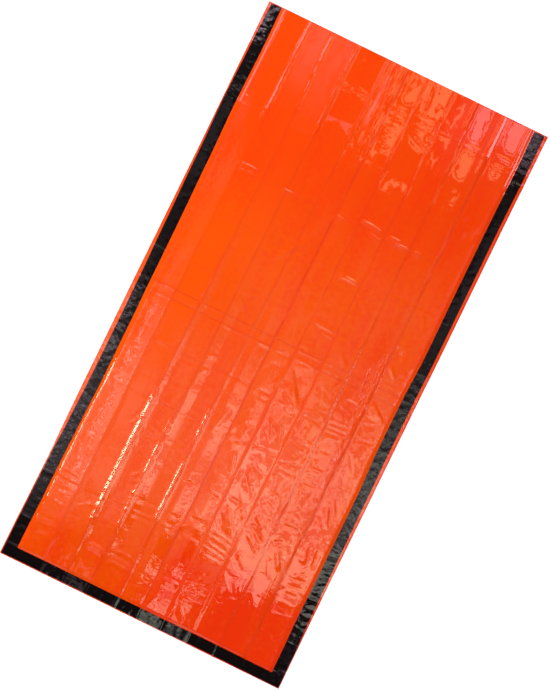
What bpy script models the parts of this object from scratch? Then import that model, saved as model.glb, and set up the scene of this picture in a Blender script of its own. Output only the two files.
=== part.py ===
"""Emergency sleeping bag, lying flat with its mouth open toward +Y.

Two film panels are joined along both long sides and across the foot, and black
tape covers each joined edge. The film keeps the folds it was packed with.
Lengths are metres, +Z is up, and the floor is z = 0.
"""

import math
from collections import namedtuple

import bpy

# Driving sizes
LENGTH = 2.000
WIDTH = 1.010
FILM = 0.0010            # thickness of each film panel
TAPE = 0.0008            # thickness of the tape
TAPE_WIDTH = 0.035
GAP = 0.0003             # between two pieces that touch

# The upper film
LOFT = 0.0095            # its rise above the joined edges
RAMP = 0.080             # distance from the tapes over which it rises
RAMP_LINE = 0.45         # place of the net's line on that ramp, as a share of it
SHOULDER = 0.012         # half width of a fold's crest
FOLD_REACH = 0.030       # a fold dies away over this distance
WAVE_HEIGHT = 0.0003     # slow waves that keep the panels between folds uneven
WAVES_ACROSS = 1.4       # waves in a metre
WAVES_ALONG = 1.1
MOUTH_INSET = 0.0020     # its open edge stops this far short of the lower film
MOUTH_SCALLOP = 0.0016   # the open edge draws back between two folds
MOUTH_LIFT = 0.0015      # extra rise at the open edge
MOUTH_LIFT_REACH = 0.250
MOUTH_LINE = 0.025       # place of the net's last line, in from the open edge
FOOT_INSET = 0.0010      # it stops short of the lower film at the foot
LEFT_INSET_SHARE = 0.10  # and at the sides, by a share of the bare margin there
RIGHT_INSET_SHARE = 0.34

# The joined edges and the tapes on them
RIPPLE_SHARE = 0.25      # share of a fold's height that a joined edge keeps
RIPPLE_REACH = 0.012
STEP_DOWN = 0.004        # a side tape comes down off the foot tape over this length

# The lower film: flat on the floor, with low straight folds
BACK_RISE = 0.0012       # height of its folds
BACK_SHOULDER = 0.015    # half width of a fold
BACK_FLAT = 0.055        # no folds this near to its joined edges

# Film left bare outside the side tapes, and how far each side is drawn in, by place
# along the bag
Side = namedtuple("Side", "along left_margin right_margin left_dent right_dent")
SIDES = (
    Side(along=-1.00, left_margin=0.0015, right_margin=0.0030, left_dent=0.0000, right_dent=0.0000),
    Side(along=-0.90, left_margin=0.0015, right_margin=0.0035, left_dent=0.0004, right_dent=0.0003),
    Side(along=-0.76, left_margin=0.0025, right_margin=0.0075, left_dent=0.0020, right_dent=0.0008),
    Side(along=-0.64, left_margin=0.0045, right_margin=0.0095, left_dent=0.0030, right_dent=0.0010),
    Side(along=-0.52, left_margin=0.0090, right_margin=0.0115, left_dent=0.0014, right_dent=0.0006),
    Side(along=-0.34, left_margin=0.0130, right_margin=0.0140, left_dent=0.0004, right_dent=0.0004),
    Side(along=0.00, left_margin=0.0125, right_margin=0.0160, left_dent=0.0000, right_dent=0.0008),
    Side(along=0.20, left_margin=0.0095, right_margin=0.0155, left_dent=0.0006, right_dent=0.0000),
    Side(along=0.44, left_margin=0.0075, right_margin=0.0150, left_dent=0.0010, right_dent=0.0005),
    Side(along=0.65, left_margin=0.0050, right_margin=0.0150, left_dent=0.0004, right_dent=0.0010),
    Side(along=0.86, left_margin=0.0080, right_margin=0.0150, left_dent=0.0002, right_dent=0.0004),
    Side(along=1.00, left_margin=0.0105, right_margin=0.0150, left_dent=0.0000, right_dent=0.0000),
)

# Film left bare outside the foot tape, by place across the bag
Foot = namedtuple("Foot", "across margin")
FOOT = (
    Foot(across=-0.505, margin=0.0042),
    Foot(across=-0.200, margin=0.0036),
    Foot(across=0.070, margin=0.0018),
    Foot(across=0.210, margin=0.0048),
    Foot(across=0.505, margin=0.0026),
)

# Packing folds along the bag: where each runs at the foot, middle and mouth, and how
# high it stands (+) or how deep it lies (-) at each of them
LongFold = namedtuple("LongFold", "foot middle mouth foot_rise middle_rise mouth_rise")
LONG_FOLDS = (
    LongFold(-0.364, -0.364, -0.348, foot_rise=0.0038, middle_rise=0.0030, mouth_rise=0.0045),
    LongFold(-0.285, -0.275, -0.268, foot_rise=-0.0028, middle_rise=-0.0016, mouth_rise=-0.0030),
    LongFold(-0.197, -0.185, -0.179, foot_rise=0.0042, middle_rise=0.0026, mouth_rise=0.0042),
    LongFold(-0.096, -0.087, -0.069, foot_rise=-0.0030, middle_rise=-0.0018, mouth_rise=-0.0024),
    LongFold(-0.014, -0.005, 0.000, foot_rise=0.0030, middle_rise=0.0024, mouth_rise=0.0034),
    LongFold(0.075, 0.075, 0.075, foot_rise=-0.0028, middle_rise=-0.0022, mouth_rise=-0.0020),
    LongFold(0.172, 0.172, 0.170, foot_rise=0.0044, middle_rise=0.0032, mouth_rise=0.0036),
    LongFold(0.268, 0.264, 0.258, foot_rise=-0.0026, middle_rise=-0.0022, mouth_rise=-0.0030),
    LongFold(0.361, 0.358, 0.354, foot_rise=0.0040, middle_rise=0.0036, mouth_rise=0.0045),
)
HALF_FOLD_PITCH = 0.045

# Packing folds across the bag: where each meets the left and right side, and its rise
CrossFold = namedtuple("CrossFold", "left right rise")
CROSS_FOLDS = (
    CrossFold(left=-0.858, right=-0.852, rise=-0.0022),
    CrossFold(left=-0.694, right=-0.690, rise=0.0040),
    CrossFold(left=-0.503, right=-0.508, rise=-0.0022),
    CrossFold(left=-0.332, right=-0.328, rise=0.0036),
    CrossFold(left=-0.153, right=-0.157, rise=-0.0020),
    CrossFold(left=-0.012, right=-0.008, rise=0.0026),
    CrossFold(left=0.020, right=0.024, rise=0.0022),
    CrossFold(left=0.128, right=0.124, rise=-0.0022),
    CrossFold(left=0.305, right=0.309, rise=0.0034),
    CrossFold(left=0.471, right=0.468, rise=-0.0020),
    CrossFold(left=0.662, right=0.666, rise=0.0036),
    CrossFold(left=0.859, right=0.855, rise=-0.0022),
)
BACK_CROSS_FOLDS = CROSS_FOLDS[1::2]

# Colour, roughness and metallic value of each material
Finish = namedtuple("Finish", "colour roughness metallic")
FILM_FINISH = Finish(colour=(0.95, 0.075, 0.006, 1.0), roughness=0.28, metallic=0.0)
TAPE_FINISH = Finish(colour=(0.012, 0.012, 0.014, 1.0), roughness=0.25, metallic=0.0)


def clear_scene():
    for obj in list(bpy.data.objects):
        bpy.data.objects.remove(obj, do_unlink=True)


def make_material(name, finish):
    material = bpy.data.materials.new(name)
    material.use_nodes = True
    shader = material.node_tree.nodes["Principled BSDF"]
    shader.inputs["Base Color"].default_value = finish.colour
    shader.inputs["Roughness"].default_value = finish.roughness
    shader.inputs["Metallic"].default_value = finish.metallic
    material.diffuse_color = finish.colour
    return material


def ease(share):
    """Smooth step from 0 to 1."""
    share = min(max(share, 0.0), 1.0)
    return share * share * (3.0 - 2.0 * share)


def blend(low, high, share):
    return low + (high - low) * share


def read_table(rows, key, column, place):
    """Value of a table's column at a place, eased between the rows on either side of it."""
    if place <= getattr(rows[0], key):
        return getattr(rows[0], column)
    for low, high in zip(rows, rows[1:]):
        if place <= getattr(high, key):
            share = (place - getattr(low, key)) / (getattr(high, key) - getattr(low, key))
            return blend(getattr(low, column), getattr(high, column), ease(share))
    return getattr(rows[-1], column)


# Outline of the film and the tapes: an x for each y, or a y for each x

def left_edge(y):
    return -WIDTH / 2 + read_table(SIDES, "along", "left_dent", y)


def right_edge(y):
    return WIDTH / 2 - read_table(SIDES, "along", "right_dent", y)


def left_tape_outer(y):
    return left_edge(y) + read_table(SIDES, "along", "left_margin", y)


def right_tape_outer(y):
    return right_edge(y) - read_table(SIDES, "along", "right_margin", y)


def left_tape_inner(y):
    return left_tape_outer(y) + TAPE_WIDTH


def right_tape_inner(y):
    return right_tape_outer(y) - TAPE_WIDTH


def foot_tape_outer(x):
    return -LENGTH / 2 + read_table(FOOT, "across", "margin", x)


def foot_tape_inner(x):
    return foot_tape_outer(x) + TAPE_WIDTH


def mouth_edge(x):
    """The upper film's open edge, drawn back a little between two long folds."""
    nearest = min(abs(x - fold.mouth) for fold in LONG_FOLDS)
    return LENGTH / 2 - MOUTH_INSET - MOUTH_SCALLOP * ease(nearest / HALF_FOLD_PITCH)


# Folds

def blend_along(foot, middle, mouth, y):
    """Blend three values by place along the bag."""
    end = foot if y < 0.0 else mouth
    return blend(middle, end, min(2.0 * abs(y) / LENGTH, 1.0))


def long_fold_x(fold, y):
    return blend_along(fold.foot, fold.middle, fold.mouth, y)


def long_fold_rise(fold, y):
    return blend_along(fold.foot_rise, fold.middle_rise, fold.mouth_rise, y)


def cross_fold_y(fold, x):
    return blend(fold.left, fold.right, x / WIDTH + 0.5)


def fold_relief(x, y):
    """Height that the folds add to the upper film: its tallest ridge plus its deepest trough."""
    terms = [0.0]
    for fold in LONG_FOLDS:
        away = abs(x - long_fold_x(fold, y))
        terms.append(long_fold_rise(fold, y) * math.exp(-away / FOLD_REACH))
    for fold in CROSS_FOLDS:
        away = abs(y - cross_fold_y(fold, x))
        terms.append(fold.rise * math.exp(-away / FOLD_REACH))
    return max(terms) + min(terms)


def slow_waves(x, y):
    across = math.sin(2.0 * math.pi * WAVES_ACROSS * (x + 0.4 * y))
    along = math.cos(2.0 * math.pi * WAVES_ALONG * (y - 0.4 * x))
    return WAVE_HEIGHT * across * along


def seam_ripple(x, y):
    """Height that the folds leave in a joined edge."""
    ripple = 0.0
    for fold in CROSS_FOLDS:
        away = abs(y - cross_fold_y(fold, x))
        ripple = max(ripple, abs(fold.rise) * math.exp(-away / RIPPLE_REACH))
    if y < foot_tape_inner(x) + RAMP:
        for fold in LONG_FOLDS:
            away = abs(x - long_fold_x(fold, y))
            ripple = max(ripple, abs(fold.foot_rise) * math.exp(-away / RIPPLE_REACH))
    return RIPPLE_SHARE * ripple


# Heights of the upper face of each sheet

def back_height(x, y):
    from_edge = min(x - left_edge(y), right_edge(y) - x, y + LENGTH / 2)
    fade = ease((from_edge - BACK_FLAT) / BACK_FLAT)
    from_long = min(abs(x - long_fold_x(fold, y)) for fold in LONG_FOLDS)
    from_cross = min(abs(y - cross_fold_y(fold, x)) for fold in BACK_CROSS_FOLDS)
    tent = max(1.0 - min(from_long, from_cross) / BACK_SHOULDER, 0.0)
    return FILM + BACK_RISE * tent * fade


def front_height(x, y):
    joined = FILM + GAP + FILM
    mouth_lift = MOUTH_LIFT * ease(1.0 - (LENGTH / 2 - y) / MOUTH_LIFT_REACH)
    free = joined + LOFT + fold_relief(x, y) + slow_waves(x, y) + mouth_lift
    inside = min(x - left_tape_inner(y), right_tape_inner(y) - x, y - foot_tape_inner(x))
    return blend(joined + seam_ripple(x, y), free, ease(inside / RAMP))


def foot_tape_height(x, y):
    return front_height(x, y) + GAP + TAPE


def side_tape_height(x, y):
    """A side tape lies over the end of the foot tape and steps down from it."""
    over_foot_tape = 1.0 - ease((y - foot_tape_inner(x)) / STEP_DOWN)
    return front_height(x, y) + (GAP + TAPE) * (1.0 + over_foot_tape)


# Nets of lines. A column is a function of y that gives x, and a row a function of x
# that gives y. The upper film and the tapes share one net, so that they fit each other.

def shifted(line, offset):
    return lambda place: line(place) + offset


def long_fold_columns(shoulder):
    return [
        shifted(lambda y, fold=fold: long_fold_x(fold, y), side * shoulder)
        for fold in LONG_FOLDS
        for side in (-1, 0, 1)
    ]


def cross_fold_rows(folds, shoulder):
    return [
        shifted(lambda x, fold=fold: cross_fold_y(fold, x), side * shoulder)
        for fold in folds
        for side in (-1, 0, 1)
    ]


def left_tape_columns():
    return [left_tape_outer, shifted(left_tape_outer, TAPE_WIDTH / 2), left_tape_inner]


def right_tape_columns():
    return [right_tape_inner, shifted(right_tape_outer, -TAPE_WIDTH / 2), right_tape_outer]


def foot_tape_rows():
    return [foot_tape_outer, shifted(foot_tape_outer, TAPE_WIDTH / 2), foot_tape_inner]


def film_left_edge(y):
    return blend(left_edge(y), left_tape_outer(y), LEFT_INSET_SHARE)


def film_right_edge(y):
    return blend(right_edge(y), right_tape_outer(y), RIGHT_INSET_SHARE)


def front_columns():
    left = [film_left_edge] + left_tape_columns() + [shifted(left_tape_inner, RAMP_LINE * RAMP)]
    right = [shifted(right_tape_inner, -RAMP_LINE * RAMP)] + right_tape_columns() + [film_right_edge]
    return left + long_fold_columns(SHOULDER) + right


def front_rows():
    foot_edge = [lambda x: -LENGTH / 2 + FOOT_INSET]
    step = [shifted(foot_tape_inner, STEP_DOWN), shifted(foot_tape_inner, RAMP_LINE * RAMP)]
    mouth = [shifted(mouth_edge, -MOUTH_LINE), mouth_edge]
    return foot_edge + foot_tape_rows() + step + cross_fold_rows(CROSS_FOLDS, SHOULDER) + mouth


def net_points(rows, columns, height):
    """Points where the rows and columns of a net cross, each with its height."""
    passes = 6
    points = []
    for row in rows:
        line = []
        for column in columns:
            x = 0.0
            for _ in range(passes):
                y = row(x)
                x = column(y)
            line.append((x, y, height(x, y)))
        points.append(line)
    return points


def sheet_mesh(name, points, thickness):
    """Closed sheet from rows of upper-face points; its lower face lies one thickness below."""
    rows = len(points)
    columns = len(points[0])
    upper_points = [point for row in points for point in row]
    lower_points = [(x, y, z - thickness) for x, y, z in upper_points]
    under = len(upper_points)
    faces = []
    for i in range(rows - 1):
        for j in range(columns - 1):
            a = i * columns + j
            b = a + 1
            c = b + columns
            d = a + columns
            faces.extend([(a, b, c), (a, c, d)])
            faces.extend([(under + c, under + b, under + a), (under + d, under + c, under + a)])
    last_row = (rows - 1) * columns
    rim = list(range(columns))
    rim += [i * columns + columns - 1 for i in range(1, rows)]
    rim += list(range(last_row + columns - 2, last_row - 1, -1))
    rim += [i * columns for i in range(rows - 2, 0, -1)]
    for a, b in zip(rim, rim[1:] + rim[:1]):
        faces.extend([(a, under + a, under + b), (a, under + b, b)])
    mesh = bpy.data.meshes.new(name)
    mesh.from_pydata(upper_points + lower_points, [], faces)
    mesh.validate()
    return mesh


def add_sheet(name, points, thickness, material):
    mesh = sheet_mesh(name, points, thickness)
    mesh.materials.append(material)
    obj = bpy.data.objects.new(name, mesh)
    bpy.context.scene.collection.objects.link(obj)


def make_back_panel(material):
    left = [left_edge, shifted(left_edge, BACK_FLAT)]
    right = [shifted(right_edge, -BACK_FLAT), right_edge]
    columns = left + long_fold_columns(BACK_SHOULDER) + right
    foot = [lambda x: -LENGTH / 2, lambda x: -LENGTH / 2 + BACK_FLAT]
    mouth = [lambda x: LENGTH / 2]
    rows = foot + cross_fold_rows(BACK_CROSS_FOLDS, BACK_SHOULDER) + mouth
    add_sheet("back_panel", net_points(rows, columns, back_height), FILM, material)


def make_front_panel(material):
    points = net_points(front_rows(), front_columns(), front_height)
    add_sheet("front_panel", points, FILM, material)


def make_side_tape(name, columns, material):
    """A side tape runs from the outer edge of the foot tape to the mouth."""
    rows = front_rows()[1:]
    add_sheet(name, net_points(rows, columns, side_tape_height), TAPE, material)


def make_foot_tape(material):
    """The foot tape runs from the outer edge of one side tape to that of the other."""
    columns = front_columns()[1:-1]
    points = net_points(foot_tape_rows(), columns, foot_tape_height)
    add_sheet("foot_seam_tape", points, TAPE, material)


def main():
    clear_scene()
    make_back_panel(make_material("back_film", FILM_FINISH))
    make_front_panel(make_material("front_film", FILM_FINISH))
    make_side_tape("left_seam_tape", left_tape_columns(), make_material("left_tape", TAPE_FINISH))
    make_side_tape("right_seam_tape", right_tape_columns(), make_material("right_tape", TAPE_FINISH))
    make_foot_tape(make_material("foot_tape", TAPE_FINISH))


main()
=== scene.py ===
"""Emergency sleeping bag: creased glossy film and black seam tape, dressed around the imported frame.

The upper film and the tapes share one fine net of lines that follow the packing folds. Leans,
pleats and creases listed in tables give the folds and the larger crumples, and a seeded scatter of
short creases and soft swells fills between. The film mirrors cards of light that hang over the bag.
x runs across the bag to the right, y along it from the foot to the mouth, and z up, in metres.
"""

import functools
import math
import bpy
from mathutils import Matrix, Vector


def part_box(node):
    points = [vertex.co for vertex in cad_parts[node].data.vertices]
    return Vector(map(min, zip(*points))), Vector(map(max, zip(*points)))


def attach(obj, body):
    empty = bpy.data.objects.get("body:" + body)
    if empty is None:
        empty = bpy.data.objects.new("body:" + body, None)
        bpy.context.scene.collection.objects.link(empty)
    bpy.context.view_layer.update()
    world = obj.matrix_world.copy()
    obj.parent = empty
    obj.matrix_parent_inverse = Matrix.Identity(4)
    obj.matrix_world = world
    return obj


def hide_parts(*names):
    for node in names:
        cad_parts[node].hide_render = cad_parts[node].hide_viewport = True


bl_info = {
    "name": "Emergency sleeping bag",
    "version": (1, 0, 0),
    "blender": (4, 5, 0),
    "location": "View3D > Sidebar > Sleeping bag",
    "description": "Builds a flat film sleeping bag with taped seams, its materials and a studio",
    "category": "Object",
}

from collections import namedtuple

import bpy
import numpy as np

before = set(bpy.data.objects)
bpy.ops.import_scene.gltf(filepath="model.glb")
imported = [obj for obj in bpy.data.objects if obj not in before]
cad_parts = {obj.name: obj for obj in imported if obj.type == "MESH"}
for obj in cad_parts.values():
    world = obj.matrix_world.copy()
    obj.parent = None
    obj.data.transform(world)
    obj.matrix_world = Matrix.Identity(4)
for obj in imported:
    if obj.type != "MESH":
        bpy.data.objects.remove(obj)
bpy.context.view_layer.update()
BACK_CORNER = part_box("back_panel")[1]
HALF_WIDTH = BACK_CORNER.x
HALF_LENGTH = BACK_CORNER.y

# ---------------------------------------------------------------------------------------------
# Sizes a user would change


class BagSizes(bpy.types.PropertyGroup):
    net_across: bpy.props.FloatProperty(
        name="Net across", description="Spacing of the film's lines across the bag, where finest",
        default=0.0043, min=0.003, unit="LENGTH")
    net_along: bpy.props.FloatProperty(
        name="Net along", description="Spacing of the film's lines along the bag, where finest",
        default=0.0042, min=0.003, unit="LENGTH")
    back_height: bpy.props.FloatProperty(
        name="Lower film height", description="Height of the lower film above the floor",
        default=0.0006, unit="LENGTH")
    seam_height: bpy.props.FloatProperty(
        name="Seam height", description="Height of the upper film along the joined edges",
        default=0.0016, unit="LENGTH")
    step: bpy.props.FloatProperty(
        name="Step", description="Rise of the upper film just inside the tapes",
        default=0.0024, unit="LENGTH")
    loft: bpy.props.FloatProperty(
        name="Loft", description="Further slow rise of the upper film toward the middle",
        default=0.0030, unit="LENGTH")
    tape_width: bpy.props.FloatProperty(
        name="Tape width", description="Width of the seam tape", default=0.035, unit="LENGTH")
    tape_thickness: bpy.props.FloatProperty(
        name="Tape thickness", description="Thickness of the seam tape",
        default=0.0003, unit="LENGTH")


class BagColours(bpy.types.PropertyGroup):
    film: bpy.props.FloatVectorProperty(
        name="Film", description="Colour of the film", subtype="COLOR", size=4,
        default=(0.668, 0.062, 0.0018, 1.0))
    film_head: bpy.props.FloatVectorProperty(
        name="Film, head end", description="Colour of the film toward the open end",
        subtype="COLOR", size=4, default=(0.655, 0.044, 0.0022, 1.0))
    # Painted shade: a deeper film colour mixed in toward the foot, the right and the mouth's right,
    # where less light falls, and all over the lower film
    film_shaded: bpy.props.FloatVectorProperty(
        name="Film, painted shade", description="Painted shade: a deeper film colour, mixed in where less light falls",
        subtype="COLOR", size=4, default=(0.662, 0.027, 0.0030, 1.0))
    # Painted shade: a darker film colour drawn along the pressed fold lines, where shade falls in the
    # creases
    fold_shade: bpy.props.FloatVectorProperty(
        name="Fold line", description="Colour of the film along a pressed fold",
        subtype="COLOR", size=4, default=(0.56, 0.034, 0.0055, 1.0))
    tape: bpy.props.FloatVectorProperty(
        name="Tape", description="Colour of the seam tape", subtype="COLOR", size=4,
        default=(0.0045, 0.0030, 0.0032, 1.0))


class StageSettings(bpy.types.PropertyGroup):
    camera_height: bpy.props.FloatProperty(
        name="Camera height", description="Height of the camera above the floor",
        default=7.0, unit="LENGTH")
    ring_glow: bpy.props.FloatProperty(
        name="Ring light", description="Brightness of the ring of light around the room",
        default=2.35)
    key_energy: bpy.props.FloatProperty(
        name="Key lamp", description="Power of the large soft lamp beyond the head", default=60.0,
        unit="POWER")


# ---------------------------------------------------------------------------------------------
# Tables


def in_rows(kind, rows):
    return [kind(*row) for row in rows]


def in_metres(kind, rows):
    """Rows of a table whose values are all in millimetres."""
    return [kind(*(value / 1000.0 for value in row)) for row in rows]


# By place along the bag, in millimetres: bare film outside the side tapes, how far each side is
# drawn in, and how much wider than its standard width each tape shows
Side = namedtuple("Side", "along left_margin right_margin left_dent right_dent left_wide right_wide")
SIDES = in_metres(Side, (
    (-1000, 3.6, 1.6, 0, 0, 5.5, 5.8),
    (-900, 3.8, 2.4, 0.4, 0.3, 5.3, 5.6),
    (-760, 4, 6, 2, 0.8, 5.2, 3.6),
    (-640, 4.2, 7.6, 3, 1, 5, 0.6),
    (-520, 10, 9.2, 1.4, 0.6, 2.6, -0.5),
    (-340, 14.4, 11.4, 0.4, 0.4, 2.4, -2),
    (-160, 14.8, 13, 0.2, 0.6, 1.8, 1.8),
    (0, 14, 12.5, 0, 0.8, 1.6, 1.8),
    (200, 10.4, 11, 0.6, 0, 4.5, -1),
    (440, 7.1, 11.3, 1, 0.5, 5.3, 0),
    (650, 4, 11.2, 0.4, 1, 6, 0),
    (860, 7.1, 10.2, 0.2, 0.4, 5.5, 0),
    (1000, 9.5, 10.8, 0, 0, 2.2, 2),
))

# Bare film outside the foot tape, by place across the bag, in millimetres
Foot = namedtuple("Foot", "across margin")
FOOT = in_metres(Foot, ((-505, 3.2), (-200, 3.4), (70, 2.8), (210, 3.6), (505, 2.2)))
FOOT_INSET = 0.0010          # of the upper film from the lower one's foot edge
FOOT_WIDE = 0.0015           # how much wider than its standard width the foot tape shows
LEFT_INSET_SHARE = 0.10      # how far over the bare margin the upper film's sides are set in
RIGHT_INSET_SHARE = 0.34
MOUTH_INSET = 0.0020         # of the upper film from the lower one's mouth edge
MOUTH_SCALLOP = 0.0016       # further inset of the mouth between two long folds
HALF_FOLD_PITCH = 0.045

# Packing folds along the bag: where each runs at the foot, middle and mouth, and how dark the painted
# shade on its line is
LongFold = namedtuple("LongFold", "foot middle mouth shade")
LONG_FOLDS = in_rows(LongFold, (
    (-0.364, -0.364, -0.348, 0.25),
    (-0.285, -0.275, -0.268, 0.45),
    (-0.197, -0.185, -0.179, 0.50),
    (-0.096, -0.087, -0.069, 0.45),
    (-0.014, -0.008, 0.000, 1.00),
    (0.075, 0.073, 0.075, 0.65),
    (0.172, 0.170, 0.170, 0.60),
    (0.268, 0.264, 0.258, 0.70),
    (0.361, 0.360, 0.358, 1.00),
))

# Packing folds across the bag: where each meets the left and right side, and how dark the painted
# shade on its line is
CrossFold = namedtuple("CrossFold", "left right shade")
CROSS_FOLDS = in_rows(CrossFold, (
    (-0.858, -0.852, 0.25),
    (-0.694, -0.690, 0.25),
    (-0.503, -0.508, 0.40),
    (-0.332, -0.328, 0.60),
    (-0.153, -0.157, 0.40),
    (-0.012, -0.008, 0.80),
    (0.020, 0.024, 0.90),
    (0.128, 0.124, 0.25),
    (0.305, 0.309, 0.15),
    (0.471, 0.468, 0.25),
    (0.662, 0.666, 0.20),
    (0.859, 0.855, 0.30),
))

# How far the film leans at places across the bag, in degrees, positive where it falls to the
# right; places are those at the middle of the bag and follow the folds from there
Lean = namedtuple("Lean", "across below mouth")
LEANS = in_rows(Lean, (
    (-0.4545, 0, 0), (-0.452, -1.2, -1), (-0.448, -1, -0.6), (-0.444, 0.3, 0.2),
    (-0.425, 0.8, 0.2), (-0.415, 0, 0.2), (-0.395, -1.4, 0.2), (-0.372, -2.2, 0.2),
    (-0.368, -0.3, -1), (-0.364, 4.5, 4.5), (-0.356, 2.6, 1.5), (-0.349, 0, 0.2),
    (-0.3, 0, 0), (-0.29, 0, 0), (-0.28, 0, 0), (-0.272, 6, 1.2), (-0.262, 5.2, 0.2),
    (-0.25, 3.6, 0), (-0.244, 0.1, 0), (-0.192, 0, 0), (-0.185, 0, 0), (-0.18, 4.2, 1),
    (-0.17, 3.6, 0.6), (-0.15, 3, 0.1), (-0.142, 0.3, 0), (-0.105, 0, 0), (-0.088, 0, 0),
    (-0.084, 2.2, 0.6), (-0.078, 2, 0.6), (-0.072, -1.3, 0), (-0.06, -1.1, 0),
    (-0.052, 1.2, 0), (-0.02, 1.3, 0), (-0.014, -0.9, 0), (0.03, -0.7, 0), (0.04, 0.4, 0),
    (0.064, 0.3, 0), (0.068, -5, -2), (0.073, -5, -2), (0.077, 0.2, 0.2), (0.164, 0, 0),
    (0.168, -6, -2.5), (0.173, -5.6, -2), (0.177, 0.3, 0.3), (0.256, 0.2, 0), (0.26, 5.6, 2),
    (0.265, 5.2, 2), (0.269, -0.2, 0), (0.324, 0.2, 0), (0.336, 2.6, 0.4), (0.354, 3.6, 1),
    (0.358, 5.4, 3), (0.364, 3.4, 1.6), (0.369, -0.6, 0), (0.382, -0.1, 0), (0.43, 0.1, 0),
    (0.438, 1.6, 0.6), (0.448, 3.4, 1.6), (0.452, -1, -1), (0.4557, 0, 0),
))

# How strongly the leans below the mouth, and those at the mouth, show along the bag
Reach = namedtuple("Reach", "along below mouth")
REACHES = in_rows(Reach, (
    (-1.00, 0.1, 0.0),
    (-0.93, 0.5, 0.0),
    (-0.80, 1.0, 0.0),
    (0.02, 1.0, 0.0),
    (0.22, 0.45, 0.0),
    (0.55, 0.25, 0.1),
    (0.70, 0.10, 1.0),
    (1.00, 0.0, 1.0),
))

# Narrow pleats along a long fold or beside the left tape: which, start and end along the bag, offset
# across, width of the left and right flank, rise, and how beaded it is
Pleat = namedtuple("Pleat", "fold start end offset left right rise beads")
LEFT_TAPE = "left tape"
PLEATS = in_rows(Pleat, (
    (LEFT_TAPE, -0.77, -0.36, 0.006, 0.006, 0.006, 0.00062, 0.60),
    (LEFT_TAPE, 0.66, 1.03, 0.006, 0.006, 0.006, 0.00025, 0.60),
    (1, -0.80, -0.29, 0.001, 0.012, 0.010, 0.00195, 0.30),
    (2, -0.78, -0.43, -0.003, 0.009, 0.010, 0.00190, 0.55),
    (2, -0.42, -0.36, -0.003, 0.009, 0.010, 0.00175, 0.75),
    (3, -0.69, -0.46, -0.003, 0.009, 0.008, 0.00225, 0.30),
    (3, -0.40, -0.27, -0.003, 0.009, 0.008, 0.00250, 0.55),
    (0, 0.65, 1.03, 0.000, 0.010, 0.006, 0.00100, 0.15),
    (1, 0.70, 1.03, 0.000, 0.010, 0.006, 0.00095, 0.50),
    (2, 0.65, 1.03, -0.001, 0.010, 0.006, 0.00150, 0.20),
    (3, 0.73, 1.03, 0.004, 0.009, 0.008, 0.00110, 0.40),
    (4, 0.64, 1.03, -0.024, 0.009, 0.008, 0.00080, 0.90),
    (7, 0.90, 1.03, -0.010, 0.008, 0.009, 0.00120, 0.20),
    (8, 0.84, 1.03, -0.008, 0.008, 0.009, 0.00120, 0.15),
    (8, 0.90, 1.03, 0.086, 0.008, 0.008, 0.00060, 0.15),
    (8, -0.10, 0.12, -0.020, 0.010, 0.010, -0.00060, 0.50),
))

# Creases of the smooth upper half, in millimetres from the middle of the bag: start, end, left and
# right flank as seen from the start, rise, and bow to the left
Crease = namedtuple("Crease", "x0 y0 x1 y1 left right rise bow", defaults=(0.0,))
CREASES = in_metres(Crease, (
    (-142, 230, -38, 368, 9, 9, 1.2),
    (-248, 212, -204, 160, 9, 9, 0.8),
    (178, 262, 246, 206, 12, 10, 1.1, 4),
    (272, 226, 344, 204, 10, 10, 1, -4),
    (376, 318, 424, 234, 12, 10, 1.1, 4),
    (-366, 486, -284, 482, 8, 14, 1.5, 3),
    (-362, 466, -290, 464, 8, 14, 1.4, 4),
    (-202, 468, -158, 462, 8, 14, 1.6, 3),
    (-10, 466, 34, 460, 8, 14, 1.3, 3),
    (-176, 462, -166, 438, 5, 5, 0.3),
    (70, 488, 164, 480, 8, 14, 1.6, 4),
    (118, 466, 172, 458, 8, 14, 1.4, -4),
    (178, 480, 232, 478, 8, 14, 1.6, 2),
    (186, 464, 262, 468, 8, 14, 1.3, 3),
    (268, 472, 308, 466, 8, 14, 1.2, 2),
    (76, 312, 170, 300, 10, 12, 1.1, -6),
    (76, 288, 170, 296, 10, 12, 1.1, 6),
    (0, 218, 40, 204, 10, 10, 1, 3),
))

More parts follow.
